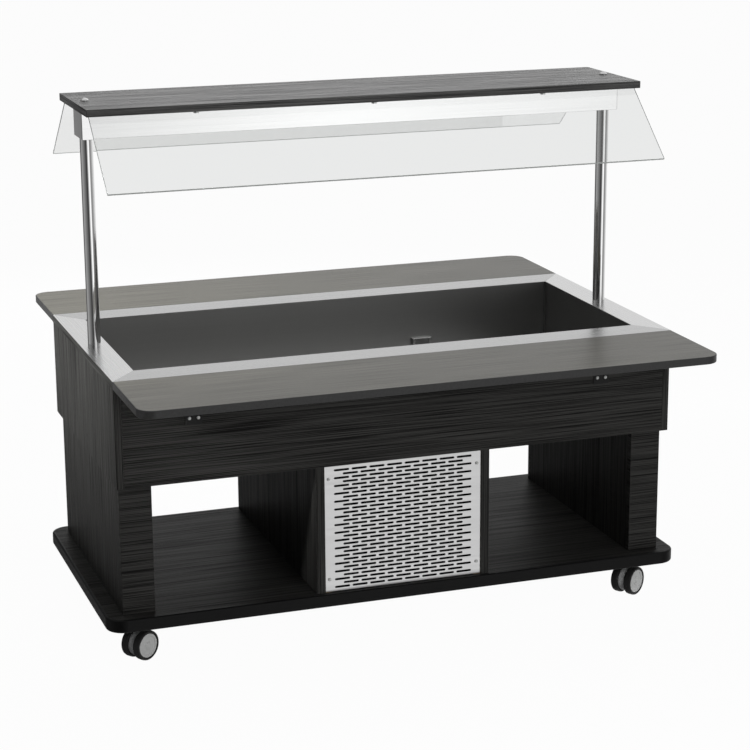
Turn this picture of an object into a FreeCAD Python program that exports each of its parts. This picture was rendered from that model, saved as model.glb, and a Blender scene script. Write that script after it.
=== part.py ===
"""Refrigerated salad counter on casters, with fold-down tray flaps and a glass sneeze guard.

Millimetres, +Z up. The origin is on the floor under the middle of the counter.
The counter is long in X, guests stand at -Y and staff at +Y.
"""
import FreeCAD, Part
import math
import os

Vector = FreeCAD.Vector

# Boards, sheet steel and general clearances
board = 18.0
partition_board = 22.0
top_thickness = 19.0
base_thickness = 33.0
shelf_thickness = 18.0
sheet = 1.5
fit_clearance = 0.05
seam = 1.0

# Worktop, rim and well
top_length = 1445.0
top_depth = 724.0
rim_end_width = 70.0
rim_side_width = 85.5
well_depth = 200.0
liner_clearance = 1.0
tub_inset = 1.0
floor_foam = 33.5

# Cold side under the well
coil_tube_radius = 4.75
coil_space = 12.0
coil_lift = 0.2
coil_end_inset = 92.5
coil_pitch = 80.0
coil_runs = 6
coil_bend = 30.0
pipe_hole_clearance = 4.0
drain_radius = 14.0
drain_wall = 3.0
drain_flange_radius = 32.0
drain_drop = 115.0
spout_length = 25.0
valve_radius = 22.0
valve_length = 52.0
valve_stem_radius = 5.0
lever_length = 80.0
lever_width = 14.0
lever_thickness = 3.0
lever_gap = 0.3
sensor_cover_length = 57.0
sensor_cover_depth = 12.0
sensor_cover_height = 20.0
sensor_cover_end_inset = 371.5
sensor_cover_top_drop = 128.0

# Base and the boards that stand on it
base_end_overhang = 42.0
base_side_overhang = 12.0
base_corner = 45.0
edging_thickness = 6.0
edging_round = 5.0
column_end_inset = 9.0
column_side_inset = 27.0
column_width = 80.5

# Grilles
grille_recess = 3.0
grille_bottom_gap = 2.0
slot_length = 39.4
slot_width = 5.6
slot_pitch = 46.1
row_pitch = 10.1
slot_side_margin = 18.0
slot_end_margin = 7.0
batten = 18.0
grille_screw_side = 10.0
grille_screw_end = 32.0

# Screws
screw_radius = 2.0
screw_head_radius = 4.2
screw_head_height = 2.2
screw_head_chamfer = 1.1
screw_length = 16.0

# Casters
wheel_diameter = 75.0
wheel_width = 20.0
wheel_head_gap = 4.0
tyre_thickness = 7.0
tyre_round = 4.0
hub_dish = 2.0
hub_face_width = 12.0
hub_face_inset = 6.0
axle_radius = 5.0
caster_body_inset = 6.5
caster_body_width = 18.0
caster_side_gap = 0.3
caster_trail = 16.0
caster_yaw = 33.0
caster_plate_size = 64.0
caster_plate_thickness = 3.0
caster_cup_radius = 17.0
caster_cup_height = 8.0
kingpin_radius = 6.0
kingpin_top_gap = 0.5
boss_radius = 15.0
neck_rise = 25.0
neck_front = 9.0
caster_end_inset = 99.5
caster_side_inset = 68.0
caster_screw_inset = 9.0

# Tray flaps and their folding brackets
flap_reach = 277.0
flap_corner = 40.0
flap_edge_round = 1.5
bracket_end_inset = 192.5
bracket_width = 40.0
bracket_plate = 3.0
bracket_length = 104.0
bracket_top_gap = 4.0
pivot_drop = 12.0
pivot_radius = 4.0
pivot_head_inset = 1.4
pivot_head_height = 3.0
pivot_head_chamfer = 1.5
arm_heel_back = 12.0
arm_heel_below = 8.0
arm_heel_gap = 1.6
arm_root_out = 12.0
arm_root_below = 12.0
arm_tip_inset = 47.0
arm_tip_depth = 9.0
arm_flange_width = 30.0
arm_flange = 3.0
arm_web = 4.0
cheek = 3.0
cheek_gap = 0.4
nose_gap = 0.6
cheek_knee_drop = 40.0
cheek_foot_drop = 75.0
bracket_screw_offset = 11.0
bracket_upper_screw_drop = 28.0
bracket_lower_screw_drop = 87.0

# Canopy
post_length = 520.0
post_radius = 16.0
post_wall = 2.0
tie_rod_radius = 5.0
tie_rod_hole_clearance = 0.5
tie_rod_tail = 24.0
nut_width = 17.0
nut_height = 8.0
nut_pocket_gap = 5.0
cap_radius = 10.0
cap_height = 7.0
cap_skirt = 2.0
beam_height = 71.0
beam_depth = 95.5
beam_end_overhang = 19.5
lamp_post_gap = 87.5
lamp_width = 56.0
lamp_lip = 6.0
lamp_thickness = 3.0
strip_width = 24.0
strip_height = 10.0
strip_end_gap = 12.0
shelf_end_overhang = 10.5
shelf_lip = 19.1
glass_end_overhang = 2.0
glass_thickness = 5.0
glass_top_half = 142.4
glass_spread = 183.6
glass_drop = 155.6
glass_bury = 11.7
glue_line = 0.3
retainer_end_inset = 259.0
retainer_radius = 3.0
retainer_length = 14.0
retainer_head_radius = 6.5
retainer_head_height = 3.5
retainer_gap = 0.1

# Cooling unit behind the grilles
condenser_width = 300.0
condenser_depth = 55.0
condenser_side_gap = 38.0
condenser_top_gap = 45.0
condenser_setback = 3.0
condenser_rail = 12.0
fin_pitch = 7.0
fin_thickness = 1.6
fin_depth = 22.0
pipe_radius = 4.0
pipe_bend = 28.0
pipe_drop = 15.0
pipe_rise = 50.0
fan_radius = 98.0
fan_tip_gap = 6.0
fan_ring_length = 30.0
fan_plate_side_inset = 25.0
fan_plate_end_inset = 8.0
fan_hub_radius = 28.0
fan_hub_length = 20.0
fan_blades = 5
blade_chord = 58.0
blade_thickness = 2.0
blade_pitch = 24.0
blade_root = 4.0
fan_axial_gap = 3.0
motor_radius = 32.0
motor_length = 55.0
motor_shaft_radius = 3.0
motor_shaft_length = 42.0
spider_radius = 40.0
spider_thickness = 3.0
spider_bore = 8.0
spider_arm = 10.0
spider_arms = 4
compressor_side_gap = 19.0
compressor_radius = 75.0
compressor_height = 185.0
compressor_dome = 45.0
compressor_dome_steps = 6
compressor_foot = 8.0
compressor_seam_rise = 83.0
compressor_seam_lip = 5.0
compressor_seam_height = 6.0
compressor_plate_length = 180.0
compressor_plate_depth = 170.0
compressor_plate_thickness = 3.0
grommet_radius = 13.0
grommet_height = 16.0
grommet_inset = 18.0
stub_radius = 7.0
stub_height = 13.0
stub_offset_x = 20.0
stub_offset_y = 40.0

# Control panel on the staff side
control_height = 104.0
control_screw_side = 9.0
main_switch_inset = 88.0
lamp_switch_inset = 148.0
switch_width = 23.0
switch_height = 32.0
switch_depth = 16.0
bezel_overlap = 1.5
bezel_height = 2.0
switch_side_wall = 1.8
switch_end_wall = 2.8
rocker_crown = 5.5
rocker_valley = 3.5
rocker_keel = 2.0
rocker_side_gap = 0.4
rocker_end_gap = 1.2
rocker_tilt = 9.0
trunnion_radius = 1.5
trunnion_length = 1.2
knob_inset = 128.0
knob_radius = 20.0
knob_taper = 2.0
knob_height = 16.0
knob_gap = 0.6
knob_flutes = 12
knob_flute_radius = 3.0
knob_flute_depth = 1.5
knob_shaft_radius = 3.0
thermostat_size = 46.0
thermostat_depth = 26.0
gland_inset = 38.0
gland_radius = 9.0
gland_bore = 3.6
gland_length = 14.0

# Heights, stacked from the floor up
caster_height = wheel_diameter + wheel_head_gap + caster_cup_height + caster_plate_thickness
compressor_stack = grommet_height + compressor_plate_thickness + compressor_height + stub_height
condenser_height = compressor_stack + pipe_rise + pipe_drop
bay_height = condenser_height + condenser_top_gap
base_z = caster_height
bay_z = base_z + base_thickness
tub_z = bay_z + bay_height
foam_z = tub_z + board
well_floor_z = foam_z + floor_foam + coil_space + sheet
rim_z = well_floor_z + well_depth
top_z = rim_z - top_thickness
board_top_z = rim_z - sheet
beam_z = rim_z + post_length
shelf_z = beam_z + beam_height
shelf_top_z = shelf_z + shelf_thickness

# Lengths and planes that follow from the sizes above
opening_length = top_length - 2 * rim_end_width
opening_depth = top_depth - 2 * rim_side_width
tub_half_length = top_length / 2 - tub_inset
tub_half_depth = top_depth / 2 - tub_inset
column_outer = tub_half_length - column_end_inset
column_half_depth = tub_half_depth - column_side_inset
base_half_length = column_outer + base_end_overhang
base_half_depth = tub_half_depth + base_side_overhang
partition_inner = condenser_width / 2 + condenser_side_gap + batten
grille_face = tub_half_depth - grille_recess
grille_half_width = partition_inner - seam
caster_x = base_half_length - caster_end_inset
caster_y = base_half_depth - caster_side_inset
axle_z = wheel_diameter / 2
caster_body_radius = wheel_diameter / 2 - caster_body_inset
cup_z = base_z - caster_plate_thickness - caster_cup_height
flap_inner = top_depth / 2 + seam
flap_outer = top_depth / 2 + flap_reach
bracket_x = top_length / 2 - bracket_end_inset
plate_face = bracket_plate - tub_inset
pivot_out = plate_face + math.hypot(arm_heel_back, arm_heel_below) + arm_heel_gap
pivot_y = top_depth / 2 + pivot_out
pivot_z = top_z - pivot_drop
nose = pivot_drop - arm_flange - nose_gap
pivot_head_radius = nose - pivot_head_inset
post_x = top_length / 2 - rim_end_width / 2
beam_length = 2 * (post_x + beam_end_overhang)
lamp_length = 2 * (post_x - lamp_post_gap)
shelf_length = beam_length + 2 * shelf_end_overhang
shelf_depth = 2 * (glass_top_half + shelf_lip)
glass_length = beam_length + 2 * glass_end_overhang
retainer_x = glass_length / 2 - retainer_end_inset
condenser_y = -grille_face + sheet + batten + condenser_setback
fan_y = condenser_y + condenser_depth
fan_z = bay_z + condenser_height / 2 - pipe_drop
pipe_z = bay_z + condenser_height - pipe_drop
coil_z = well_floor_z - sheet - coil_lift - coil_tube_radius
coil_half_width = (coil_runs - 1) / 2 * coil_pitch
coil_reach = opening_length / 2 - coil_end_inset
compressor_x = partition_inner - compressor_side_gap - compressor_plate_length / 2
compressor_y = coil_half_width - stub_offset_y
compressor_base_z = bay_z + grommet_height + compressor_plate_thickness
stub_top_z = bay_z + compressor_stack
coil_tail_x = compressor_x + stub_offset_x
coil_tails = [(-coil_tail_x, -coil_half_width), (coil_tail_x, coil_half_width)]
valve_z = tub_z - drain_drop + spout_length
valve_axis_z = valve_z + valve_length / 2
control_z = tub_z - seam - control_height
control_mid_z = control_z + control_height / 2
main_switch_x = main_switch_inset - grille_half_width
lamp_switch_x = lamp_switch_inset - grille_half_width
knob_x = grille_half_width - knob_inset
gland_x = grille_half_width - gland_inset
rocker_half_width = switch_width / 2 - switch_side_wall - rocker_side_gap
rocker_half_length = switch_height / 2 - switch_end_wall - rocker_end_gap


# Shapes that several pieces share

def block(x, y, z):
    """A box between two limits on each axis."""
    corner = Vector(x[0], y[0], z[0])
    return Part.makeBox(x[1] - x[0], y[1] - y[0], z[1] - z[0], corner)


def centred_block(half_length, half_depth, z):
    return block((-half_length, half_length), (-half_depth, half_depth), z)


def rod(radius, start, end):
    """A cylinder between two points."""
    axis = Vector(*end) - Vector(*start)
    return Part.makeCylinder(radius, axis.Length, Vector(*start), axis)


def upright(radius, x, y, z):
    return rod(radius, (x, y, z[0]), (x, y, z[1]))


def turned(profile, base, axis):
    """A solid of revolution from (radius, height) points about an axis through base."""
    points = [Vector(radius, 0, height) for radius, height in profile]
    face = Part.Face(Part.makePolygon(points + points[:1]))
    solid = face.revolve(Vector(0, 0, 0), Vector(0, 0, 1), 360)
    turn = FreeCAD.Rotation(Vector(0, 0, 1), Vector(*axis))
    solid.Placement = FreeCAD.Placement(Vector(*base), turn)
    return solid


def rounded_slab(x, y, z, radius, corners):
    """A slab with its named vertical corners rounded; a corner is a pair of signs."""
    slab = block(x, y, z)
    edges = []
    for edge in slab.Edges:
        low, high = (vertex.Point for vertex in edge.Vertexes)
        if abs(low.z - high.z) < 1e-6:
            continue
        sign_x = 1 if low.x > (x[0] + x[1]) / 2 else -1
        sign_y = 1 if low.y > (y[0] + y[1]) / 2 else -1
        if (sign_x, sign_y) in corners:
            edges.append(edge)
    return slab.makeFillet(radius, edges)


def soften_rims(solid, levels, radius, skip=None):
    """Round the edges that lie flat at the given levels, apart from those that skip picks."""
    edges = []
    for edge in solid.Edges:
        box = edge.BoundBox
        flat = box.ZLength < 1e-6 and any(abs(box.ZMin - level) < 1e-6 for level in levels)
        if flat and not (skip and skip(box)):
            edges.append(edge)
    return solid.makeFillet(radius, edges)


def prism(outline, thickness, x):
    """An outline in Y and Z pushed along X about x; an item of two points is an arc's middle and end."""
    start = x - thickness / 2
    first = Vector(start, *outline[0])
    last = first
    edges = []
    for item in outline[1:]:
        if isinstance(item[0], tuple):
            middle, end = (Vector(start, *point) for point in item)
            edges.append(Part.Arc(last, middle, end).toShape())
        else:
            end = Vector(start, *item)
            edges.append(Part.LineSegment(last, end).toShape())
        last = end
    edges.append(Part.LineSegment(last, first).toShape())
    return Part.Face(Part.Wire(edges)).extrude(Vector(thickness, 0, 0))


def bent_tube(points, radius, bend):
    """A round tube along straight runs joined by tangent arcs."""
    path = [Vector(*point) for point in points]
    edges = []
    start = path[0]
    for before, corner, after in zip(path, path[1:], path[2:]):
        inward = (before - corner).normalize()
        outward = (after - corner).normalize()
        half_turn = (math.pi - inward.getAngle(outward)) / 2
        enter = corner + inward * (bend * math.tan(half_turn))
        leave = corner + outward * (bend * math.tan(half_turn))
        to_centre = (inward + outward).normalize()
        middle = corner + to_centre * (bend / math.cos(half_turn) - bend)
        edges.append(Part.LineSegment(start, enter).toShape())
        edges.append(Part.Arc(enter, middle, leave).toShape())
        start = leave
    edges.append(Part.LineSegment(start, path[-1]).toShape())
    section = Part.Wire(Part.makeCircle(radius, path[0], path[1] - path[0]))
    return Part.Wire(edges).makePipeShell([section], True, False)


def mirror_y(solid):
    return solid.mirror(Vector(0, 0, 0), Vector(0, 1, 0))


def mirror_x(solid):
    return solid.mirror(Vector(0, 0, 0), Vector(1, 0, 0))


def pan_screw(point, inward):
    """A pan-head screw whose head sits on point and whose shank runs inward."""
    crown = screw_head_radius - screw_head_chamfer
    flank = screw_head_height - screw_head_chamfer
    profile = [(0, -screw_length), (screw_radius, -screw_length), (screw_radius, 0), (screw_head_radius, 0),
               (screw_head_radius, flank), (crown, screw_head_height), (0, screw_head_height)]
    outward = tuple(-value for value in inward)
    return turned(profile, point, outward)


def screw_bore(point, inward):
    start = Vector(*point) - Vector(*inward) * screw_head_height
    end = Vector(*point) + Vector(*inward) * (screw_length + fit_clearance)
    return rod(screw_radius + fit_clearance, tuple(start), tuple(end))


def drilled(solid, points, inward):
    bores = [screw_bore(point, inward) for point in points]
    return solid.cut(Part.makeCompound(bores))


def export(name, *solids):
    shape = solids[0] if len(solids) == 1 else Part.makeCompound(list(solids))
    shape.exportStep("parts/" + name + ".step")


# Places of the screws, which the drilled pieces and the screws share

def grille_screw_points(bottom, top, side):
    """Face points of a grille's screws on the guest (-1) or staff (+1) side."""
    x = grille_half_width - grille_screw_side
    heights = (bottom + grille_screw_end, top - grille_screw_end)
    return [(sign * x, side * grille_face, z) for sign in (-1, 1) for z in heights]


def bracket_screw_points(side):
    points = []
    for x in (-bracket_x, bracket_x):
        for offset in (-bracket_screw_offset, bracket_screw_offset):
            for drop in (bracket_upper_screw_drop, bracket_lower_screw_drop):
                points.append((x + offset, side * (top_depth / 2 + plate_face), top_z - drop))
    return points


def control_screw_points():
    x = grille_half_width - control_screw_side
    heights = (control_z + control_screw_side, control_z + control_height - control_screw_side)
    return [(sign * x, grille_face, z) for sign in (-1, 1) for z in heights]


def caster_screw_points():
    reach = caster_plate_size / 2 - caster_screw_inset
    z = base_z - caster_plate_thickness
    points = []
    for x in (-caster_x, caster_x):
        for y in (-caster_y, caster_y):
            points += [(x + sx * reach, y + sy * reach, z) for sx in (-1, 1) for sy in (-1, 1)]
    return points


grille_z = bay_z + grille_bottom_gap
front_grille_top = tub_z - seam
rear_grille_top = control_z - seam
front_grille_screws = grille_screw_points(grille_z, front_grille_top, -1)
rear_grille_screws = grille_screw_points(grille_z, rear_grille_top, 1)


# Base: one thick board with a rounded edging

def make_base():
    z = (base_z, bay_z)
    every_corner = [(sx, sy) for sx in (-1, 1) for sy in (-1, 1)]
    length = (-base_half_length, base_half_length)
    depth = (-base_half_depth, base_half_depth)
    outer = rounded_slab(length, depth, z, base_corner, every_corner)
    core_length = (edging_thickness - base_half_length, base_half_length - edging_thickness)
    core_depth = (edging_thickness - base_half_depth, base_half_depth - edging_thickness)
    core = rounded_slab(core_length, core_depth, z, base_corner - edging_thickness, every_corner)
    export("base_edging", soften_rims(outer, z, edging_round).cut(core))
    export("base_board", drilled(core, caster_screw_points(), (0, 0, 1)))


# Casters: plate with a cup, swivelling body with its axle, two free wheels

def caster_plate(x, y):
    half = caster_plate_size / 2
    plate_z = base_z - caster_plate_thickness
    plate = block((x - half, x + half), (y - half, y + half), (plate_z, base_z))
    cup = upright(caster_cup_radius, x, y, (cup_z, plate_z))
    bore = upright(kingpin_radius + fit_clearance, x, y, (cup_z, base_z))
    return plate.fuse(cup).removeSplitter().cut(bore)


def placed_caster(solid, x, y):
    """Turn a piece made about the swivel axis to the parked yaw and move it to its corner."""
    placed = solid.copy()
    placed.rotate(Vector(0, 0, 0), Vector(0, 0, 1), caster_yaw)
    placed.translate(Vector(x, y, 0))
    return placed


def caster_body():
    """Body between the wheels; the swivel axis is Z and the axle lies along Y behind it."""
    half = caster_body_width / 2
    boss_top = cup_z - caster_side_gap
    hood = rod(caster_body_radius, (-caster_trail, -half, axle_z), (-caster_trail, half, axle_z))
    boss = upright(boss_radius, 0, 0, (axle_z, boss_top))
    boss = boss.common(block((-boss_radius, boss_radius), (-half, half), (axle_z, boss_top)))
    neck = block((-caster_trail, neck_front), (-half, half), (axle_z, axle_z + neck_rise))
    pin = upright(kingpin_radius, 0, 0, (axle_z, base_z - kingpin_top_gap))
    reach = half + caster_side_gap + wheel_width - hub_dish
    axle = rod(axle_radius, (-caster_trail, -reach, axle_z), (-caster_trail, reach, axle_z))
    return hood.fuse([boss, neck, pin, axle]).removeSplitter()


def caster_wheel(side):
    """Tyre and hub of the wheel on the -Y or +Y side of the body."""
    base = (-caster_trail, side * (caster_body_width / 2 + caster_side_gap), axle_z)
    axis = (0, side, 0)
    tread = wheel_diameter / 2
    shoulder = tread - tyre_round
    rim = tread - tyre_thickness
    tyre = turned([(rim, 0), (shoulder, 0), (tread, tyre_round), (tread, wheel_width - tyre_round),
                   (shoulder, wheel_width), (rim, wheel_width)], base, axis)
    face = rim - hub_face_inset
    bore = axle_radius + fit_clearance
    dish = wheel_width - hub_dish
    hub = turned([(bore, 0), (rim, 0), (rim, dish), (face, wheel_width), (face - hub_face_width, wheel_width),
                  (bore, dish)], base, axis)
    return tyre, hub


def make_casters():
    corners = {"fl": (-caster_x, -caster_y), "fr": (caster_x, -caster_y),
               "rl": (-caster_x, caster_y), "rr": (caster_x, caster_y)}
    plates = [caster_plate(x, y) for x, y in corners.values()]
    export("caster_plates", *[drilled(plate, caster_screw_points(), (0, 0, 1)) for plate in plates])
    for name, (x, y) in corners.items():
        export("caster_body_" + name, placed_caster(caster_body(), x, y))
        for label, side in (("outer", -1), ("inner", 1)):
            pieces = [placed_caster(piece, x, y) for piece in caster_wheel(side)]
            export("wheel_" + name + "_" + label, *pieces)


# Carcass between base and tub: box columns at the ends, partitions round the cooling unit

def make_columns():
    z = (bay_z, tub_z)
    inner = column_outer - column_width
    side_depth = column_half_depth - board
    outer_side = block((column_outer - board, column_outer), (-side_depth, side_depth), z)
    inner_side = block((inner, inner + board), (-side_depth, side_depth), z)
    end = block((inner, column_outer), (-column_half_depth, -side_depth), z)
    solids = [outer_side, inner_side, end, mirror_y(end)]
    export("right_column", *solids)
    export("left_column", *[mirror_x(solid) for solid in solids])


def make_partitions():
    x = (partition_inner, partition_inner + partition_board)
    right = block(x, (-tub_half_depth, tub_half_depth), (bay_z, tub_z))
    export("right_partition", right)
    export("left_partition", mirror_x(right))


# Grilles: slotted steel sheets screwed to battens on the partitions

def slot_outline(x, z):
    """A slot with round ends as a closed wire in the plane y = 0."""
    half = slot_width / 2
    reach = slot_length / 2 - half
    low_left = Vector(x - reach, 0, z - half)
    low_right = Vector(x + reach, 0, z - half)
    high_right = Vector(x + reach, 0, z + half)
    high_left = Vector(x - reach, 0, z + half)
    right_end = Vector(x + reach + half, 0, z)
    left_end = Vector(x - reach - half, 0, z)
    return Part.Wire([
        Part.LineSegment(low_left, low_right).toShape(),
        Part.Arc(low_right, right_end, high_right).toShape(),
        Part.LineSegment(high_right, high_left).toShape(),
        Part.Arc(high_left, left_end, low_left).toShape(),
    ])


def slotted_sheet(top):
    """Sheet with rows of slots, every other row one slot shorter and moved by half a pitch."""
    half = grille_half_width
    long_row = int((2 * half - 2 * slot_side_margin - slot_length) // slot_pitch) + 1
    rows = int((top - grille_z - 2 * slot_end_margin - slot_width) // row_pitch) + 1
    rows -= 1 - rows % 2
    first_z = (grille_z + top) / 2 - (rows - 1) / 2 * row_pitch
    corners = [(-half, grille_z), (half, grille_z), (half, top), (-half, top), (-half, grille_z)]
    wires = [Part.makePolygon([Vector(x, 0, z) for x, z in corners])]
    for row in range(rows):
        count = long_row - row % 2
        for column in range(count):
            x = (column - (count - 1) / 2) * slot_pitch
            wires.append(slot_outline(x, first_z + row * row_pitch))
    return Part.Face(wires, "Part::FaceMakerBullseye").extrude(Vector(0, sheet, 0))


def make_grilles():
    front = slotted_sheet(front_grille_top)
    front.translate(Vector(0, -grille_face, 0))
    export("front_grille", drilled(front, front_grille_screws, (0, 1, 0)))
    rear = slotted_sheet(rear_grille_top)
    rear.translate(Vector(0, grille_face - sheet, 0))
    export("rear_grille", drilled(rear, rear_grille_screws, (0, -1, 0)))
    back = grille_face - sheet
    battens = []
    for x in ((-partition_inner, batten - partition_inner), (partition_inner - batten, partition_inner)):
        front_batten = block(x, (-back, batten - back), (bay_z, tub_z))
        battens.append(drilled(front_batten, front_grille_screws, (0, 1, 0)))
        rear_batten = block(x, (back - batten, back), (bay_z, tub_z))
        battens.append(drilled(rear_batten, rear_grille_screws + control_screw_points(), (0, -1, 0)))
    export("grille_battens", *battens)


# Tub: side panels run through, front and rear panels sit between them, foam fills the inside

def make_tub():
    z = (tub_z, top_z)
    inner = tub_half_length - board
    right = block((inner, tub_half_length), (-tub_half_depth, tub_half_depth), z)
    export("tub_right_panel", right)
    export("tub_left_panel", mirror_x(right))
    front = block((-inner, inner), (-tub_half_depth, board - tub_half_depth), z)
    export("tub_front_panel", drilled(front, bracket_screw_points(-1), (0, 1, 0)))
    export("tub_rear_panel", drilled(mirror_y(front), bracket_screw_points(1), (0, -1, 0)))
    floor_z = (tub_z, foam_z)
    floor = centred_block(inner, tub_half_depth - board, floor_z)
    holes = [upright(drain_radius + pipe_hole_clearance, 0, 0, floor_z)]
    for x, y in coil_tails:
        holes.append(upright(coil_tube_radius + pipe_hole_clearance, x, y, floor_z))
    export("tub_floor", floor.cut(Part.makeCompound(holes)))


def make_insulation():
    half_length = tub_half_length - board
    half_depth = tub_half_depth - board
    foam = centred_block(half_length, half_depth, (foam_z, top_z))
    cavity_z = foam_z + floor_foam
    cavity = centred_block(opening_length / 2 + sheet, opening_depth / 2 + sheet, (cavity_z, top_z))
    cuts = [cavity, upright(drain_radius + pipe_hole_clearance, 0, 0, (foam_z, cavity_z))]
    turn = coil_bend + pipe_hole_clearance
    room = coil_tube_radius + pipe_hole_clearance
    for x, y in coil_tails:
        cuts.append(block((x - turn, x + turn), (y - room, y + room), (foam_z, cavity_z)))
    pocket_z = (top_z - tie_rod_tail - nut_pocket_gap, top_z)
    for x in (-post_x, post_x):
        cuts.append(upright(nut_width / math.sqrt(3) + nut_pocket_gap, x, 0, pocket_z))
    for side in (-1, 1):
        cuts += [screw_bore(point, (0, -side, 0)) for point in bracket_screw_points(side)]
    for cut in cuts:
        foam = foam.cut(cut)
    export("insulation", foam)


def rod_holes(solid):
    """Holes for the two tie rods that clamp the canopy to the worktop."""
    for x in (-post_x, post_x):
        radius = tie_rod_radius + tie_rod_hole_clearance
        solid = solid.cut(upright(radius, x, 0, (tub_z, shelf_top_z + cap_height)))
    return solid


def make_worktop():
    z = (top_z, board_top_z)
    gap = sheet + liner_clearance
    ring = centred_block(top_length / 2, top_depth / 2, z)
    ring = ring.cut(centred_block(opening_length / 2 + gap, opening_depth / 2 + gap, z))
    export("worktop_board", rod_holes(ring))


# Rim: four mitred steel strips on the worktop, level with the flaps

def mitred_strip(corners):
    points = [Vector(x, y, board_top_z) for x, y in corners]
    return Part.Face(Part.makePolygon(points + points[:1])).extrude(Vector(0, 0, sheet))


def make_rim():
    out_x = top_length / 2
    out_y = top_depth / 2
    in_x = opening_length / 2
    in_y = opening_depth / 2
    front = mitred_strip([(-out_x, -out_y), (out_x, -out_y), (in_x, -in_y), (-in_x, -in_y)])
    right = mitred_strip([(out_x, -out_y), (out_x, out_y), (in_x, in_y), (in_x, -in_y)])
    export("rim_long_strips", front, mirror_y(front))
    export("rim_end_strips", rod_holes(right), rod_holes(mirror_x(right)))


# Well: open steel box that hangs under the rim, with its sensor cover, coil and drain

def make_well():
    half_length = opening_length / 2
    half_depth = opening_depth / 2
    outside = centred_block(half_length + sheet, half_depth + sheet, (well_floor_z - sheet, board_top_z))
    inside = centred_block(half_length, half_depth, (well_floor_z, board_top_z))
    outlet = upright(drain_radius + fit_clearance, 0, 0, (well_floor_z - sheet, well_floor_z))
    export("well_liner", outside.cut(inside).cut(outlet))


def make_sensor_cover():
    wall = opening_depth / 2
    middle = opening_length / 2 - sensor_cover_end_inset
    half = sensor_cover_length / 2
    top = rim_z - sensor_cover_top_drop
    bottom = top - sensor_cover_height
    cover = block((middle - half, middle + half), (wall - sensor_cover_depth, wall), (bottom, top))
    hollow = block((middle - half + sheet, middle + half - sheet), (wall - sensor_cover_depth + sheet, wall),
                   (bottom, top - sheet))
    export("sensor_cover", cover.cut(hollow))


def make_coil():
    """Serpentine under the well floor; one tail drops to the condenser, the other to the compressor."""
    first, last = coil_tails
    points = [(first[0], fan_y, pipe_z), (first[0], first[1], pipe_z), (first[0], first[1], coil_z)]
    direction = 1
    for run in range(coil_runs - 1):
        y = first[1] + run * coil_pitch
        points.append((direction * coil_reach, y, coil_z))
        points.append((direction * coil_reach, y + coil_pitch, coil_z))
        direction = -direction
    points.append((last[0], last[1], coil_z))
    points.append((last[0], last[1], stub_top_z))
    export("evaporator_coil", bent_tube(points, coil_tube_radius, coil_bend))


def make_drain():
    """Strainer flange and tail pipe with a ball valve that hangs inside the cooling bay."""
    flange_z = (well_floor_z, well_floor_z + sheet)
    pipe_run = (tub_z - drain_drop, well_floor_z + sheet)
    lever_y = valve_radius + lever_gap
    stem_end = (0, lever_y + 2 * lever_thickness, valve_axis_z)
    flange = upright(drain_flange_radius, 0, 0, flange_z)
    pipe = upright(drain_radius, 0, 0, pipe_run)
    valve = upright(valve_radius, 0, 0, (valve_z, valve_z + valve_length))
    stem = rod(valve_stem_radius, (0, 0, valve_axis_z), stem_end)
    ball = upright(drain_radius, 0, 0, (valve_axis_z - drain_radius, valve_axis_z + drain_radius))
    way = upright(drain_radius - drain_wall, 0, 0, pipe_run)
    fitting = flange.fuse([pipe, valve, stem]).cut(way).fuse(ball)
    export("drain_fitting", fitting.removeSplitter())
    half = lever_width / 2
    plate = block((-lever_length, half), (lever_y, lever_y + lever_thickness),
                  (valve_axis_z - half, valve_axis_z + half))
    bore = rod(valve_stem_radius + fit_clearance, (0, 0, valve_axis_z), stem_end)
    export("drain_lever", plate.cut(bore))


# Tray flaps: boards on pivoting arms, carried by brackets on the tub

def out_point(out, drop, side):
    """A point by its distance out from the worktop edge and down from the flap's underside."""
    return (side * (top_depth / 2 + out), top_z - drop)


def pivot_bore(x, side, reach):
    start = (x - reach, side * pivot_y, pivot_z)
    end = (x + reach, side * pivot_y, pivot_z)
    return rod(pivot_radius + fit_clearance, start, end)


def flap_board(side):
    near = side * flap_inner
    far = side * flap_outer
    z = (top_z, rim_z)
    depth = (min(near, far), max(near, far))
    slab = rounded_slab((-top_length / 2, top_length / 2), depth, z, flap_corner, [(-1, side), (1, side)])

    def at_hinge(box):
        return abs(box.YMin - near) < 1e-6 and abs(box.YMax - near) < 1e-6

    return soften_rims(slab, z, flap_edge_round, at_hinge)


def flap_arm(x, side):
    start = pivot_out - arm_heel_back
    end = flap_reach - arm_tip_inset
    root = (pivot_out + arm_root_out, pivot_drop + arm_root_below)
    web_outline = [(start, arm_flange), (start, pivot_drop + arm_heel_below), root, (end, arm_tip_depth),
                   (end, arm_flange)]
    flange_outline = [(start, 0), (start, arm_flange), (end, arm_flange), (end, 0)]
    web = prism([out_point(out, drop, side) for out, drop in web_outline], arm_web, x)
    flange = prism([out_point(out, drop, side) for out, drop in flange_outline], arm_flange_width, x)
    return web.fuse(flange).removeSplitter().cut(pivot_bore(x, side, arm_web))


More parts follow.
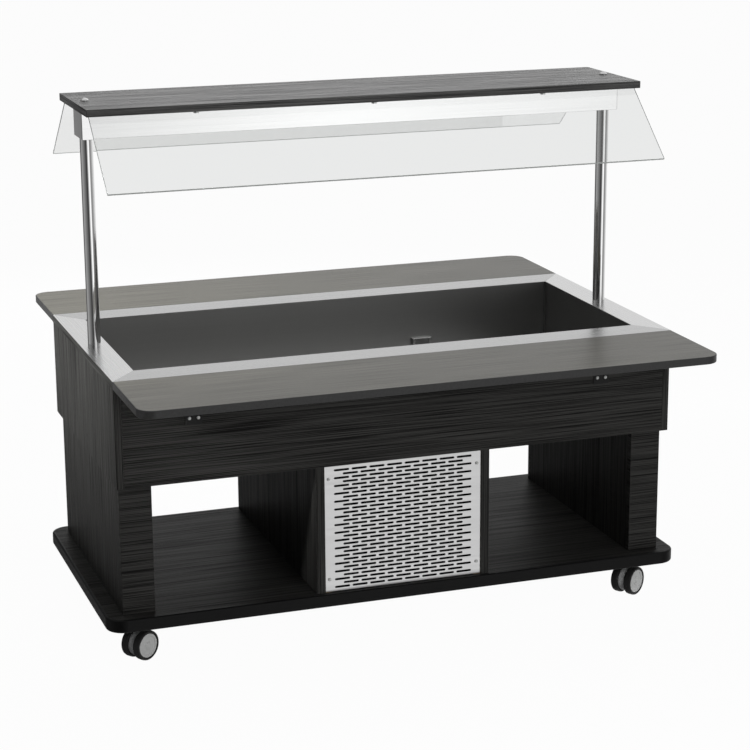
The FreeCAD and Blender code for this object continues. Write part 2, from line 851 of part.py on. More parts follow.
def flap_bracket(x, side):
    """Back plate with two cheeks; the nose round the pivot stays clear of the turning flange."""
    plate_outline = [(-tub_inset, bracket_top_gap), (-tub_inset, bracket_length),
                     (plate_face, bracket_length), (plate_face, bracket_top_gap)]
    plate = prism([out_point(out, drop, side) for out, drop in plate_outline], bracket_width, x)
    slant = nose * math.sqrt(0.5)
    nose_middle = out_point(pivot_out + slant, pivot_drop - slant, side)
    nose_end = out_point(pivot_out + nose, pivot_drop, side)
    nose_start = out_point(pivot_out, pivot_drop - nose, side)
    knee = out_point(pivot_out + nose, cheek_knee_drop, side)
    foot = out_point(-tub_inset, cheek_foot_drop, side)
    root = out_point(-tub_inset, pivot_drop - nose, side)
    cheek_outline = [root, nose_start, (nose_middle, nose_end), knee, foot]
    offset = arm_web / 2 + cheek_gap + cheek / 2
    cheeks = [prism(cheek_outline, cheek, x + sign * offset) for sign in (-1, 1)]
    bracket = plate.fuse(cheeks).removeSplitter().cut(pivot_bore(x, side, bracket_width))
    return drilled(bracket, bracket_screw_points(side), (0, -side, 0))


def pivot_pin(x, side):
    """Rivet through both cheeks with a chamfered head at each end."""
    half = arm_web / 2 + cheek_gap + cheek
    tip = half + pivot_head_height
    flank = tip - pivot_head_chamfer
    head = pivot_head_radius
    upper = [(pivot_radius, half), (head, half), (head, flank), (head - pivot_head_chamfer, tip), (0, tip)]
    lower = [(radius, -height) for radius, height in reversed(upper)]
    return turned(lower + upper, (x, side * pivot_y, pivot_z), (1, 0, 0))


def make_flaps():
    for name, side in (("front", -1), ("rear", 1)):
        export(name + "_flap", flap_board(side))
        export(name + "_flap_arms", *[flap_arm(x, side) for x in (-bracket_x, bracket_x)])
    places = [(x, side) for x in (-bracket_x, bracket_x) for side in (-1, 1)]
    export("flap_brackets", *[flap_bracket(x, side) for x, side in places])
    export("flap_pivot_pins", *[pivot_pin(x, side) for x, side in places])


# Canopy: posts, beam with its lamp, and a shelf with two glass panes bonded into it

def make_posts():
    z = (rim_z, beam_z)
    for name, x in (("left_post", -post_x), ("right_post", post_x)):
        tube = upright(post_radius, x, 0, z)
        export(name, tube.cut(upright(post_radius - post_wall, x, 0, z)))


def hex_nut(x, top):
    corner = nut_width / math.sqrt(3)
    bottom = top - nut_height
    angles = [math.radians(60 * step) for step in range(7)]
    points = [Vector(x + corner * math.cos(angle), corner * math.sin(angle), bottom) for angle in angles]
    nut = Part.Face(Part.makePolygon(points)).extrude(Vector(0, 0, nut_height))
    return nut.cut(upright(tie_rod_radius + fit_clearance, x, 0, (bottom, top)))


def cap_nut(x, rod_top):
    """Domed nut: a short cylinder under part of a ball, with a blind bore for the rod."""
    rise = cap_height - cap_skirt
    ball_radius = (cap_radius ** 2 + rise ** 2) / (2 * rise)
    ball = Part.makeSphere(ball_radius, Vector(x, 0, shelf_top_z + cap_height - ball_radius))
    dome = upright(cap_radius, x, 0, (shelf_top_z, shelf_top_z + cap_height)).common(ball)
    return dome.cut(upright(tie_rod_radius + fit_clearance, x, 0, (shelf_top_z, rod_top + fit_clearance)))


def make_tie_rods():
    solids = []
    rod_top = shelf_top_z + cap_height / 2
    for x in (-post_x, post_x):
        solids.append(upright(tie_rod_radius, x, 0, (top_z - tie_rod_tail, rod_top)))
        solids.append(hex_nut(x, top_z))
        solids.append(cap_nut(x, rod_top))
    export("tie_rods", *solids)


def make_beam():
    """Closed steel box with a window for the lamp in its underside."""
    inside_z = (beam_z + sheet, shelf_z - sheet)
    outside = centred_block(beam_length / 2, beam_depth / 2, (beam_z, shelf_z))
    inside = centred_block(beam_length / 2 - sheet, beam_depth / 2 - sheet, inside_z)
    window = centred_block(lamp_length / 2, lamp_width / 2, (beam_z, beam_z + sheet))
    export("canopy_beam", rod_holes(outside.cut(inside).cut(window)))
    pane = centred_block(lamp_length / 2 - seam, lamp_width / 2 - seam, (beam_z, beam_z + sheet))
    lip_z = (beam_z + sheet, beam_z + sheet + lamp_thickness)
    lip = centred_block(lamp_length / 2 + lamp_lip, lamp_width / 2 + lamp_lip, lip_z)
    strip_z = (shelf_z - sheet - strip_height, shelf_z - sheet)
    strip = centred_block(lamp_length / 2 - strip_end_gap, strip_width / 2, strip_z)
    export("lamp", pane.fuse(lip).removeSplitter(), strip)


pane_width = math.hypot(glass_spread, glass_drop)
pane_down = (glass_spread / pane_width, -glass_drop / pane_width)
pane_out = (-pane_down[1], pane_down[0])


def pane_point(down, out, side):
    """A point by its distance down the pane from the shelf and out from the pane's outer face."""
    y = glass_top_half + pane_down[0] * down + pane_out[0] * out
    z = shelf_z + pane_down[1] * down + pane_out[1] * out
    return (side * y, z)


def pane_block(side, spare):
    """The pane with its buried upper edge, larger all round by a spare width."""
    top = -glass_bury - spare
    back = -glass_thickness - spare
    corners = [(top, spare), (pane_width, spare), (pane_width, back), (top, back)]
    return prism([pane_point(down, out, side) for down, out in corners], glass_length + 2 * spare, 0)


def retainer_places():
    """Screws through the shelf's underside whose heads stop the panes from sliding out."""
    climb = retainer_head_height / -pane_down[1]
    y = pane_point(climb, 0, 1)[0] + retainer_gap + retainer_head_radius
    return [(x, side * y) for x in (-retainer_x, 0, retainer_x) for side in (-1, 1)]


def make_shelf():
    shelf = centred_block(shelf_length / 2, shelf_depth / 2, (shelf_z, shelf_top_z))
    bore_z = (shelf_z, shelf_z + retainer_length)
    bores = [upright(retainer_radius, x, y, bore_z) for x, y in retainer_places()]
    grooves = [pane_block(side, glue_line) for side in (-1, 1)]
    export("canopy_shelf", rod_holes(shelf.cut(Part.makeCompound(bores + grooves))))


def make_glass():
    export("front_glass", pane_block(-1, 0))
    export("rear_glass", pane_block(1, 0))
    screws = []
    for x, y in retainer_places():
        head_z = (shelf_z - retainer_head_height, shelf_z)
        head = upright(retainer_head_radius, x, y, head_z)
        shank = upright(retainer_radius - fit_clearance, x, y, (head_z[0], shelf_z + retainer_length))
        screws.append(head.fuse(shank).removeSplitter())
    export("glass_screws", *screws)


# Cooling unit: finned condenser, fan in a shroud, hermetic compressor on rubber feet

def make_condenser():
    half = condenser_width / 2
    top = bay_z + condenser_height
    core = block((-half, half), (condenser_y, condenser_y + condenser_depth), (bay_z, top))
    count = int((condenser_width - 2 * condenser_rail) // fin_pitch)
    groove_half = (fin_pitch - fin_thickness) / 2
    groove_y = (condenser_y, condenser_y + fin_depth)
    groove_z = (bay_z + condenser_rail, top - condenser_rail)
    grooves = []
    for index in range(count):
        x = (index - (count - 1) / 2) * fin_pitch
        grooves.append(block((x - groove_half, x + groove_half), groove_y, groove_z))
    export("condenser", core.cut(Part.makeCompound(grooves)))


def fan_rod(radius, start, end):
    return rod(radius, (0, start, fan_z), (0, end, fan_z))


fan_ring_end = fan_y + sheet + fan_ring_length
spider_y = fan_ring_end - spider_thickness
hub_end = spider_y - fan_axial_gap
hub_start = hub_end - fan_hub_length
hub_middle = (hub_start + hub_end) / 2


def make_fan_shroud():
    ring_radius = fan_radius + fan_tip_gap
    plate_half = condenser_width / 2 - fan_plate_side_inset
    plate_rise = condenser_height / 2 - pipe_drop - fan_plate_end_inset
    plate = block((-plate_half, plate_half), (fan_y, fan_y + sheet), (fan_z - plate_rise, fan_z + plate_rise))
    ring = fan_rod(ring_radius + sheet, fan_y, fan_ring_end)
    shroud = plate.fuse(ring).cut(fan_rod(ring_radius, fan_y, fan_ring_end))
    spider = fan_rod(spider_radius, spider_y, fan_ring_end)
    arm_z = (fan_z - spider_arm / 2, fan_z + spider_arm / 2)
    for arm in range(spider_arms):
        bar = block((0, ring_radius + sheet / 2), (spider_y, fan_ring_end), arm_z)
        bar.rotate(Vector(0, 0, fan_z), Vector(0, 1, 0), 360 / spider_arms * (arm + 0.5))
        spider = spider.fuse(bar)
    spider = spider.cut(fan_rod(spider_bore, spider_y, fan_ring_end))
    motor = fan_rod(motor_radius, fan_ring_end, fan_ring_end + motor_length)
    bore = fan_rod(motor_shaft_radius + fit_clearance, fan_ring_end, fan_ring_end + motor_shaft_length)
    export("fan_shroud", shroud.fuse(spider).removeSplitter(), motor.cut(bore))


def make_fan_rotor():
    rotor = fan_rod(fan_hub_radius, hub_start, hub_end)
    swept = fan_rod(fan_radius, hub_start, hub_end)
    middle = Vector(0, hub_middle, fan_z)
    vane_y = (hub_middle - blade_thickness / 2, hub_middle + blade_thickness / 2)
    vane_z = (fan_z - blade_chord / 2, fan_z + blade_chord / 2)
    for blade in range(fan_blades):
        vane = block((fan_hub_radius - blade_root, fan_radius + fan_tip_gap), vane_y, vane_z)
        vane.rotate(middle, Vector(1, 0, 0), blade_pitch)
        vane.rotate(middle, Vector(0, 1, 0), 360 / fan_blades * blade)
        rotor = rotor.fuse(vane.common(swept))
    shaft = fan_rod(motor_shaft_radius, hub_middle, fan_ring_end + motor_shaft_length - fan_axial_gap)
    export("fan_rotor", rotor.fuse(shaft).removeSplitter())


def make_compressor():
    plate_x = (compressor_x - compressor_plate_length / 2, compressor_x + compressor_plate_length / 2)
    plate_y = (compressor_y - compressor_plate_depth / 2, compressor_y + compressor_plate_depth / 2)
    plate = block(plate_x, plate_y, (bay_z + grommet_height, compressor_base_z))
    radius = compressor_radius
    seam_top = compressor_seam_rise + compressor_seam_height
    shoulder = compressor_height - compressor_dome
    lip = radius + compressor_seam_lip
    profile = [(0, 0), (radius - compressor_foot, 0), (radius, compressor_foot),
               (radius, compressor_seam_rise), (lip, compressor_seam_rise), (lip, seam_top),
               (radius, seam_top)]
    for step in range(compressor_dome_steps + 1):
        angle = math.pi / 2 * step / compressor_dome_steps
        profile.append((radius * math.cos(angle), shoulder + compressor_dome * math.sin(angle)))
    can = turned(profile, (compressor_x, compressor_y, compressor_base_z), (0, 0, 1))
    stubs = []
    for sign in (-1, 1):
        x = compressor_x + sign * stub_offset_x
        y = compressor_y + sign * stub_offset_y
        stubs.append(upright(stub_radius, x, y, (compressor_base_z + shoulder, stub_top_z)))
    solids = [can.fuse(stubs + [plate]).removeSplitter()]
    for x in (plate_x[0] + grommet_inset, plate_x[1] - grommet_inset):
        for y in (plate_y[0] + grommet_inset, plate_y[1] - grommet_inset):
            solids.append(upright(grommet_radius, x, y, (bay_z, bay_z + grommet_height)))
    x = compressor_x - stub_offset_x
    y = compressor_y - stub_offset_y
    solids.append(bent_tube([(x, fan_y, pipe_z), (x, y, pipe_z), (x, y, stub_top_z)], pipe_radius, pipe_bend))
    export("compressor", *solids)


# Control panel: steel plate above the rear grille with two rockers, a thermostat knob and a gland

def switch_housing(x):
    """Bezel on the plate and body behind it, with the pocket that the rocker swings in."""
    half_width = switch_width / 2
    half_height = switch_height / 2
    face = grille_face + bezel_height
    bezel_x = (x - half_width - bezel_overlap, x + half_width + bezel_overlap)
    bezel_z = (control_mid_z - half_height - bezel_overlap, control_mid_z + half_height + bezel_overlap)
    bezel = block(bezel_x, (grille_face, face), bezel_z)
    body = block((x - half_width, x + half_width), (grille_face - switch_depth, grille_face),
                 (control_mid_z - half_height, control_mid_z + half_height))
    pocket_half = rocker_half_width + rocker_side_gap
    reach = rocker_half_length + rocker_end_gap
    swing = rocker_keel + reach * math.sin(math.radians(rocker_tilt)) + rocker_end_gap
    pocket = block((x - pocket_half, x + pocket_half), (grille_face - swing, face),
                   (control_mid_z - reach, control_mid_z + reach))
    pivot = rocker_half_width + trunnion_length + fit_clearance
    bearing = rocker_axle(trunnion_radius + fit_clearance, x, pivot)
    return bezel.fuse(body).removeSplitter().cut(pocket).cut(bearing)


def rocker_axle(radius, x, reach):
    return rod(radius, (x - reach, grille_face, control_mid_z), (x + reach, grille_face, control_mid_z))


def rocker(x):
    """Rocker with a shallow valley, parked with its lower half pressed in."""
    low = control_mid_z - rocker_half_length
    high = control_mid_z + rocker_half_length
    keel = grille_face - rocker_keel
    crown = grille_face + rocker_crown
    valley = grille_face + rocker_valley
    outline = [(keel, low), (crown, low), (valley, control_mid_z), (crown, high), (keel, high)]
    key = prism(outline, 2 * rocker_half_width, x)
    key = key.fuse(rocker_axle(trunnion_radius, x, rocker_half_width + trunnion_length)).removeSplitter()
    key.rotate(Vector(x, grille_face, control_mid_z), Vector(1, 0, 0), -rocker_tilt)
    return key


def make_knob():
    start = grille_face + knob_gap
    end = start + knob_height
    knob = turned([(0, 0), (knob_radius, 0), (knob_radius - knob_taper, knob_height), (0, knob_height)],
                  (knob_x, start, control_mid_z), (0, 1, 0))
    reach = knob_radius + knob_flute_radius - knob_flute_depth
    for flute in range(knob_flutes):
        angle = 2 * math.pi * (flute + 0.5) / knob_flutes
        x = knob_x + reach * math.cos(angle)
        z = control_mid_z + reach * math.sin(angle)
        knob = knob.cut(rod(knob_flute_radius, (x, start, z), (x, end, z)))
    shaft_start = grille_face - sheet - thermostat_depth + fit_clearance
    shaft = rod(knob_shaft_radius, (knob_x, shaft_start, control_mid_z), (knob_x, end, control_mid_z))
    export("thermostat_knob", knob.fuse(shaft).removeSplitter())


def make_controls():
    back = grille_face - sheet
    plate_z = (control_z, control_z + control_height)
    plate = block((-grille_half_width, grille_half_width), (back, grille_face), plate_z)
    half = thermostat_size / 2
    body = block((knob_x - half, knob_x + half), (back - thermostat_depth, back),
                 (control_mid_z - half, control_mid_z + half))
    shaft_bore = rod(knob_shaft_radius + fit_clearance, (knob_x, back - thermostat_depth, control_mid_z),
                     (knob_x, grille_face, control_mid_z))
    gland_back = (gland_x, back - gland_length, control_mid_z)
    gland_front = (gland_x, grille_face + gland_length, control_mid_z)
    gland = rod(gland_radius, gland_back, gland_front)
    openings = [shaft_bore, gland]
    switch_places = (main_switch_x, lamp_switch_x)
    for x in switch_places:
        openings.append(block((x - switch_width / 2, x + switch_width / 2), (back, grille_face),
                              (control_mid_z - switch_height / 2, control_mid_z + switch_height / 2)))
    plate = drilled(plate.cut(Part.makeCompound(openings)), control_screw_points(), (0, -1, 0))
    housings = [switch_housing(x) for x in switch_places]
    hollow_gland = gland.cut(rod(gland_bore, gland_back, gland_front))
    export("control_panel", plate, body.cut(shaft_bore), hollow_gland, *housings)
    export("main_switch", rocker(main_switch_x))
    export("lamp_switch", rocker(lamp_switch_x))


def make_screws():
    front_points = front_grille_screws + bracket_screw_points(-1)
    rear_points = rear_grille_screws + control_screw_points() + bracket_screw_points(1)
    screws = [pan_screw(point, (0, 1, 0)) for point in front_points]
    screws += [pan_screw(point, (0, -1, 0)) for point in rear_points]
    screws += [pan_screw(point, (0, 0, 1)) for point in caster_screw_points()]
    export("panel_screws", *screws)


os.makedirs("parts", exist_ok=True)
make_base()
make_casters()
make_columns()
make_partitions()
make_grilles()
make_tub()
make_insulation()
make_worktop()
make_rim()
make_well()
make_sensor_cover()
make_coil()
make_drain()
make_flaps()
make_posts()
make_tie_rods()
make_beam()
make_shelf()
make_glass()
make_condenser()
make_fan_shroud()
make_fan_rotor()
make_compressor()
make_knob()
make_controls()
make_screws()
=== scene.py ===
import math

import bmesh
import bpy
from mathutils import Matrix, Vector


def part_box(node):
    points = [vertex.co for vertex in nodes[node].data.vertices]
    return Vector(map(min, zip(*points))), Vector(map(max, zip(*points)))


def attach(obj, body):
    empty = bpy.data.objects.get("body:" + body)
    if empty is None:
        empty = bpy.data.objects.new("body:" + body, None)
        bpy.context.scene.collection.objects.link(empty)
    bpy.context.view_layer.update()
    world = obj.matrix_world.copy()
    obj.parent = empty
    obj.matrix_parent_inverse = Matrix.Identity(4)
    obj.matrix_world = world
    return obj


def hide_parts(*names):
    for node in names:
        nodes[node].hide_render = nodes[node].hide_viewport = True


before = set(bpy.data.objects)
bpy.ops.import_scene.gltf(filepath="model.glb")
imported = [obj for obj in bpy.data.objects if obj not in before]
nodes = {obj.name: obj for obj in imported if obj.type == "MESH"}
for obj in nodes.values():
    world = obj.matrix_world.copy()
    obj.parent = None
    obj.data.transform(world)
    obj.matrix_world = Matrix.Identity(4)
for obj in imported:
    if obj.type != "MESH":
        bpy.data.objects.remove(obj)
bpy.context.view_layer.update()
scene = bpy.context.scene
scene.view_settings.view_transform = "Standard"


# Camera: a long lens at eye height, well left of the counter's middle and looking a little down.
# It is all but level: the small roll is what a hand-held picture has.
picture_pixels = 750
focal_pixels = 2168.7
film_width = 36.0
camera_turn = math.radians(-19.0746)
camera_tilt = math.radians(14.9811)
camera_roll = math.radians(-0.3493)
camera_place = Matrix.Translation((-1.7388, -5.1758, 2.0343))
backward = Vector((math.sin(camera_turn) * math.cos(camera_tilt),
                   -math.cos(camera_turn) * math.cos(camera_tilt),
                   math.sin(camera_tilt)))
rightward = Vector((math.cos(camera_turn), math.sin(camera_turn), 0))
camera_axes = Matrix((rightward, backward.cross(rightward), backward)).transposed().to_4x4()
lens = bpy.data.cameras.new("camera")
lens.sensor_width = film_width
lens.lens = film_width * focal_pixels / picture_pixels
camera = bpy.data.objects.new("camera", lens)
camera.matrix_world = camera_place @ camera_axes @ Matrix.Rotation(camera_roll, 4, "Z")
scene.collection.objects.link(camera)
scene.camera = camera


# Studio: a white floor and backdrop, with a large soft box overhead and a long narrow one on the left.
# Weaker fills stand on the other sides. Bright steel mirrors the room's walls: a white sheet at the
# front right, and dark stands at the front and left.
floor_half = 20.0
floor_drop = 0.0005
floor_white = (0.50, 0.50, 0.50, 1)
floor_glow = 0.97
room_ambient = 0.15
ceiling_tone = 0.60
ceiling_start = 0.45
ceiling_full = 0.8
# Brightness of the walls, by degrees from straight ahead of the counter, with the right side positive
wall_tones = [(-180, 0.45), (-169, 0.20), (-140, 0.05), (-114, 0.40), (-85, 0.28), (-34, 0.08),
              (-14, 0.03), (9, 0.85), (18, 1.40), (28, 1.05), (42, 0.25), (63, 0.33), (100, 0.75),
              (152, 0.96), (170, 0.96), (180, 0.45)]


def shade(tree, kind, inputs, **options):
    """Add a shader node, set its options, fill or wire its inputs, and hand back its outputs."""
    node = tree.nodes.new("ShaderNode" + kind)
    for option, value in options.items():
        setattr(node, option, value)
    for socket, value in inputs.items():
        if isinstance(value, bpy.types.NodeSocket):
            tree.links.new(value, node.inputs[socket])
        else:
            node.inputs[socket].default_value = value
    return node.outputs


def remap(tree, value, start, end, low=0.0, high=1.0, curve="LINEAR"):
    """Carry a shader value from one range over to another, and stop it at the ends."""
    return shade(tree, "MapRange", {0: value, 1: start, 2: end, 3: low, 4: high},
                 interpolation_type=curve)[0]


def seen_straight(tree):
    """1 for what the camera sees, also through glass, and 0 for light and reflections."""
    path = shade(tree, "LightPath", {})
    return shade(tree, "Math", {0: path["Is Camera Ray"], 1: path["Is Transmission Ray"]},
                 operation="MAXIMUM")[0]


def hang_light(name, place, aim, size, watts, spread=180):
    """Hang a soft box that the camera, bright steel and glass don't see."""
    lamp = bpy.data.lights.new(name, "AREA")
    lamp.shape = "RECTANGLE"
    lamp.size, lamp.size_y = size
    lamp.energy = watts
    lamp.spread = math.radians(spread)
    holder = bpy.data.objects.new(name, lamp)
    holder.location = place
    holder.rotation_euler = (Vector(aim) - Vector(place)).to_track_quat("-Z", "Y").to_euler()
    holder.visible_camera = False
    holder.visible_glossy = False
    holder.visible_transmission = False
    scene.collection.objects.link(holder)


floor_paint = bpy.data.materials.new("studio_floor")
floor_paint.use_nodes = True
tree = floor_paint.node_tree
tree.nodes.remove(tree.nodes["Principled BSDF"])
glow = shade(tree, "Math", {0: seen_straight(tree), 1: floor_glow}, operation="MULTIPLY")[0]
matt = shade(tree, "BsdfDiffuse", {"Color": floor_white})[0]
white = shade(tree, "Emission", {})[0]
floor_mix = shade(tree, "MixShader", {0: glow, 1: matt, 2: white})[0]
tree.links.new(floor_mix, tree.nodes["Material Output"].inputs["Surface"])
floor_mesh = bpy.data.meshes.new("studio_floor")
floor_corners = [(-1, -1), (1, -1), (1, 1), (-1, 1)]
floor_points = [(x * floor_half, y * floor_half, -floor_drop) for x, y in floor_corners]
floor_mesh.from_pydata(floor_points, [], [range(4)])
floor_mesh.materials.append(floor_paint)
studio_floor = bpy.data.objects.new("studio_floor", floor_mesh)
studio_floor.visible_glossy = False
scene.collection.objects.link(studio_floor)

scene.world = bpy.data.worlds.new("studio")
scene.world.use_nodes = True
tree = scene.world.node_tree
direction = shade(tree, "SeparateXYZ", {0: shade(tree, "TexCoord", {})["Generated"]})
forward = shade(tree, "Math", {0: direction["Y"], 1: -1.0}, operation="MULTIPLY")[0]
bearing = shade(tree, "Math", {0: direction["X"], 1: forward}, operation="ARCTAN2")[0]
turn = remap(tree, bearing, -math.pi, math.pi)
walls = shade(tree, "ValToRGB", {0: turn})[0]
ramp = walls.node.color_ramp
while len(ramp.elements) < len(wall_tones):
    ramp.elements.new(0.5)
for element, (degrees, tone) in zip(ramp.elements, wall_tones):
    element.position = (degrees + 180) / 360
    element.color = (tone, tone, tone, 1)
height = remap(tree, direction["Z"], ceiling_start, ceiling_full, curve="SMOOTHSTEP")
room = remap(tree, height, 0, 1, walls, ceiling_tone)
in_reflection = shade(tree, "LightPath", {})["Is Glossy Ray"]
mirrored = remap(tree, in_reflection, 0, 1, room_ambient, room)
strength = remap(tree, seen_straight(tree), 0, 1, mirrored, 1.0)
tree.nodes["Background"].inputs["Color"].default_value = (1, 1, 1, 1)
tree.links.new(strength, tree.nodes["Background"].inputs["Strength"])

hang_light("overhead_box", place=(-0.6, 0.4, 3.6), aim=(-0.2, 0, 0.7), size=(3.4, 2.6), watts=54)
hang_light("left_box", place=(-3.4, -0.5, 2.1), aim=(-0.72, 0.25, 0.72), size=(1.2, 0.3), watts=7.5,
           spread=17)
hang_light("front_fill", place=(0.5, -3.8, 1.6), aim=(0.2, -0.3, 0.4), size=(1.6, 1.6), watts=66)
hang_light("rear_fill", place=(0.3, 3.9, 1.6), aim=(0.0, 0.3, 0.4), size=(1.6, 1.6), watts=45)
hang_light("right_fill", place=(3.9, 0.3, 1.6), aim=(0.72, 0, 0.45), size=(1.2, 1.2), watts=30)


# Base: one thick faced board that carries everything else, on casters.
# A black plastic edging is pressed round it, with soft upper and lower corners.
near_black = (0.004, 0.004, 0.0041)
noise_range = (0.3, 0.7)
# How the bevel lightens edges: rubbed wear, and a painted highlight along rounded edges
flat_match = 0.985
edge_match = 0.75
most_edge_lightening = 0.5
waves_along = 3.5
waves_across = 800.0
streak_range = (0.40, 0.55)
streak_gloss = 0.1
streak_relief = 0.0001
end_slope = 0.8


def new_finish(name, metallic):
    finish = bpy.data.materials.new(name)
    finish.use_nodes = True
    surface = finish.node_tree.nodes["Principled BSDF"]
    surface.inputs["Metallic"].default_value = metallic
    return finish, finish.node_tree, surface


def scaled(colour, share):
    return tuple(min(1.0, part * share) for part in colour)


def opaque(colour):
    return (*colour, 1.0)


def mix_colours(tree, share, first, second):
    return shade(tree, "Mix", {0: share, 6: first, 7: second}, data_type="RGBA")[2]


def mottled(name, colour, roughness, grain, spread=0.12, metallic=0.0, relief=0.00004, specular=0.5,
            gloss_spread=0.2):
    """One colour, gloss and relief broken up by noise of so many waves a metre on each axis."""
    finish, tree, surface = new_finish(name, metallic)
    spot = shade(tree, "Mapping", {0: shade(tree, "TexCoord", {})["Object"], "Scale": grain})[0]
    noise = shade(tree, "TexNoise", {"Vector": spot, "Scale": 1.0, "Detail": 4.0, "Roughness": 0.6})[0]
    pattern = remap(tree, noise, *noise_range)
    darker = opaque(scaled(colour, 1 - spread))
    lighter = opaque(scaled(colour, 1 + spread))
    tone = mix_colours(tree, pattern, darker, lighter)
    dullest = min(1.0, (1 + gloss_spread) * roughness)
    gloss = remap(tree, pattern, 0, 1, (1 - gloss_spread) * roughness, dullest)
    bumps = shade(tree, "Bump", {"Height": pattern, "Distance": relief})[0]
    surface.inputs["Specular IOR Level"].default_value = specular
    tree.links.new(tone, surface.inputs["Base Color"])
    tree.links.new(gloss, surface.inputs["Roughness"])
    tree.links.new(bumps, surface.inputs["Normal"])
    return finish


def rub_and_highlight_edges(finish, colour, reach):
    """Lighten a finish along its edges: rubbed wear, and a painted highlight where a rounded edge catches
    light.
    """
    tree = finish.node_tree
    surface = tree.nodes["Principled BSDF"]
    rounded = shade(tree, "Bevel", {"Radius": reach}, samples=4)[0]
    flat = shade(tree, "NewGeometry", {})["Normal"]
    match = shade(tree, "VectorMath", {0: rounded, 1: flat}, operation="DOT_PRODUCT")["Value"]
    edge_lightening = remap(tree, match, flat_match, edge_match, 0.0, most_edge_lightening)
    whole = surface.inputs["Base Color"].links[0].from_socket
    tone = mix_colours(tree, edge_lightening, whole, opaque(colour))
    tree.links.new(tone, surface.inputs["Base Color"])


def laminate(name, dark, light, roughness, upright, specular, depth):
    """Wood-print board with streaks up it or along it; on the ends of a long board they follow its depth."""
    finish, tree, surface = new_finish(name, 0.0)
    spot = shade(tree, "TexCoord", {})
    upward = (waves_across, waves_across, waves_along)
    lengthwise = (waves_along, waves_across, waves_across)
    depthwise = (waves_across, waves_along, waves_across)
    scale = upward if upright else lengthwise
    streaks = shade(tree, "Mapping", {0: spot["Object"], "Scale": scale})[0]
    if not upright:
        end_streaks = shade(tree, "Mapping", {0: spot["Object"], "Scale": depthwise})[0]
        sideways = shade(tree, "SeparateXYZ", {0: spot["Normal"]})["X"]
        end_on = shade(tree, "Math", {0: sideways}, operation="ABSOLUTE")[0]
        on_end = shade(tree, "Math", {0: end_on, 1: end_slope}, operation="GREATER_THAN")[0]
        streaks = shade(tree, "Mix", {0: on_end, 4: streaks, 5: end_streaks}, data_type="VECTOR")[1]
    noise = shade(tree, "TexNoise", {"Vector": streaks, "Scale": 1.0, "Detail": 0.6, "Roughness": 0.6})[0]
    pattern = remap(tree, noise, *streak_range)
    tone = mix_colours(tree, pattern, opaque(dark), opaque(light))
    gloss = remap(tree, pattern, 0, 1, roughness + streak_gloss * depth, roughness - streak_gloss * depth)
    bumps = shade(tree, "Bump", {"Height": pattern, "Distance": streak_relief * depth})[0]
    surface.inputs["Specular IOR Level"].default_value = specular
    tree.links.new(tone, surface.inputs["Base Color"])
    tree.links.new(gloss, surface.inputs["Roughness"])
    tree.links.new(bumps, surface.inputs["Normal"])
    return finish


def dress(finish, *names):
    """Give plain nodes their finish."""
    for name in names:
        nodes[name].data.materials.clear()
        nodes[name].data.materials.append(finish)


wood_dark = (0.003, 0.0029, 0.0028)
wood_light = (0.034, 0.0335, 0.0318)
# The base board's laminate is a darker copy of the boards' laminate, with less sheen: painted shade for the
# bays under the tub.
board_laid_shaded = laminate("board_laid_shaded", wood_dark, scaled(wood_light, 0.85), roughness=0.52, upright=False,
                      specular=0.085, depth=0.8)
edging_plastic = mottled("edging_plastic", near_black, 0.42, (160, 160, 160), 0.2, relief=0.00003,
                         specular=0.12)
# The edging's lightened edges are a painted highlight along its rounded corners, with some rubbed wear.
rub_and_highlight_edges(edging_plastic, (0.10, 0.10, 0.10), 0.003)
dress(board_laid_shaded, "base_board")
dress(edging_plastic, "base_edging")


# Casters: four swivel casters of moulded grey nylon with twin wheels, on zinc-plated steel plates.
# Each wheel is a dished grey disc with a black rubber tread pressed over it.
tread_radius = 0.0375
tread_inner = 0.0305
tread_half = 0.010
disc_inset = 0.0012
disc_dish = 0.0016
cap_radius = 0.007
wheel_steps = 72
sharp_angle = math.radians(35)


def make_piece(name, shape, finish, body, slot, *replaced):
    """Turn a shape into a piece that moves with a body and stands for some plain nodes."""
    bmesh.ops.recalc_face_normals(shape, faces=shape.faces)
    mesh = bpy.data.meshes.new(name)
    shape.to_mesh(mesh)
    shape.free()
    mesh.materials.append(finish)
    mesh.shade_smooth()
    mesh.set_sharp_from_angle(angle=sharp_angle)
    piece = bpy.data.objects.new(name, mesh)
    scene.collection.objects.link(piece)
    flat_faces = piece.modifiers.new("flat_faces", "WEIGHTED_NORMAL")
    flat_faces.keep_sharp = True
    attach(piece, body)
    if replaced:
        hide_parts(*replaced)
    return piece


def add_turning(shape, profile, place, steps=48, ring=False):
    """Turn (radius, height) points round a placed Z axis; a ring joins its last point to its first."""
    rounds = []
    for radius, height in profile:
        angles = [math.tau * step / steps for step in range(steps if radius > 0 else 1)]
        points = [Vector((radius * math.cos(angle), radius * math.sin(angle), height)) for angle in angles]
        rounds.append([shape.verts.new(place @ point) for point in points])
    ends = rounds[1:] + rounds[:1] if ring else rounds[1:]
    for lower, upper in zip(rounds, ends):
        for step in range(steps):
            after = step + 1
            corners = [lower[step % len(lower)], lower[after % len(lower)],
                       upper[after % len(upper)], upper[step % len(upper)]]
            shape.faces.new(dict.fromkeys(corners))


def facing(axis, place):
    """Matrix that stands a Z axis along a direction at a place."""
    return Matrix.Translation(place) @ Vector(axis).to_track_quat("Z", "Y").to_matrix().to_4x4()


def middle(name):
    low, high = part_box(name)
    return (low + high) / 2


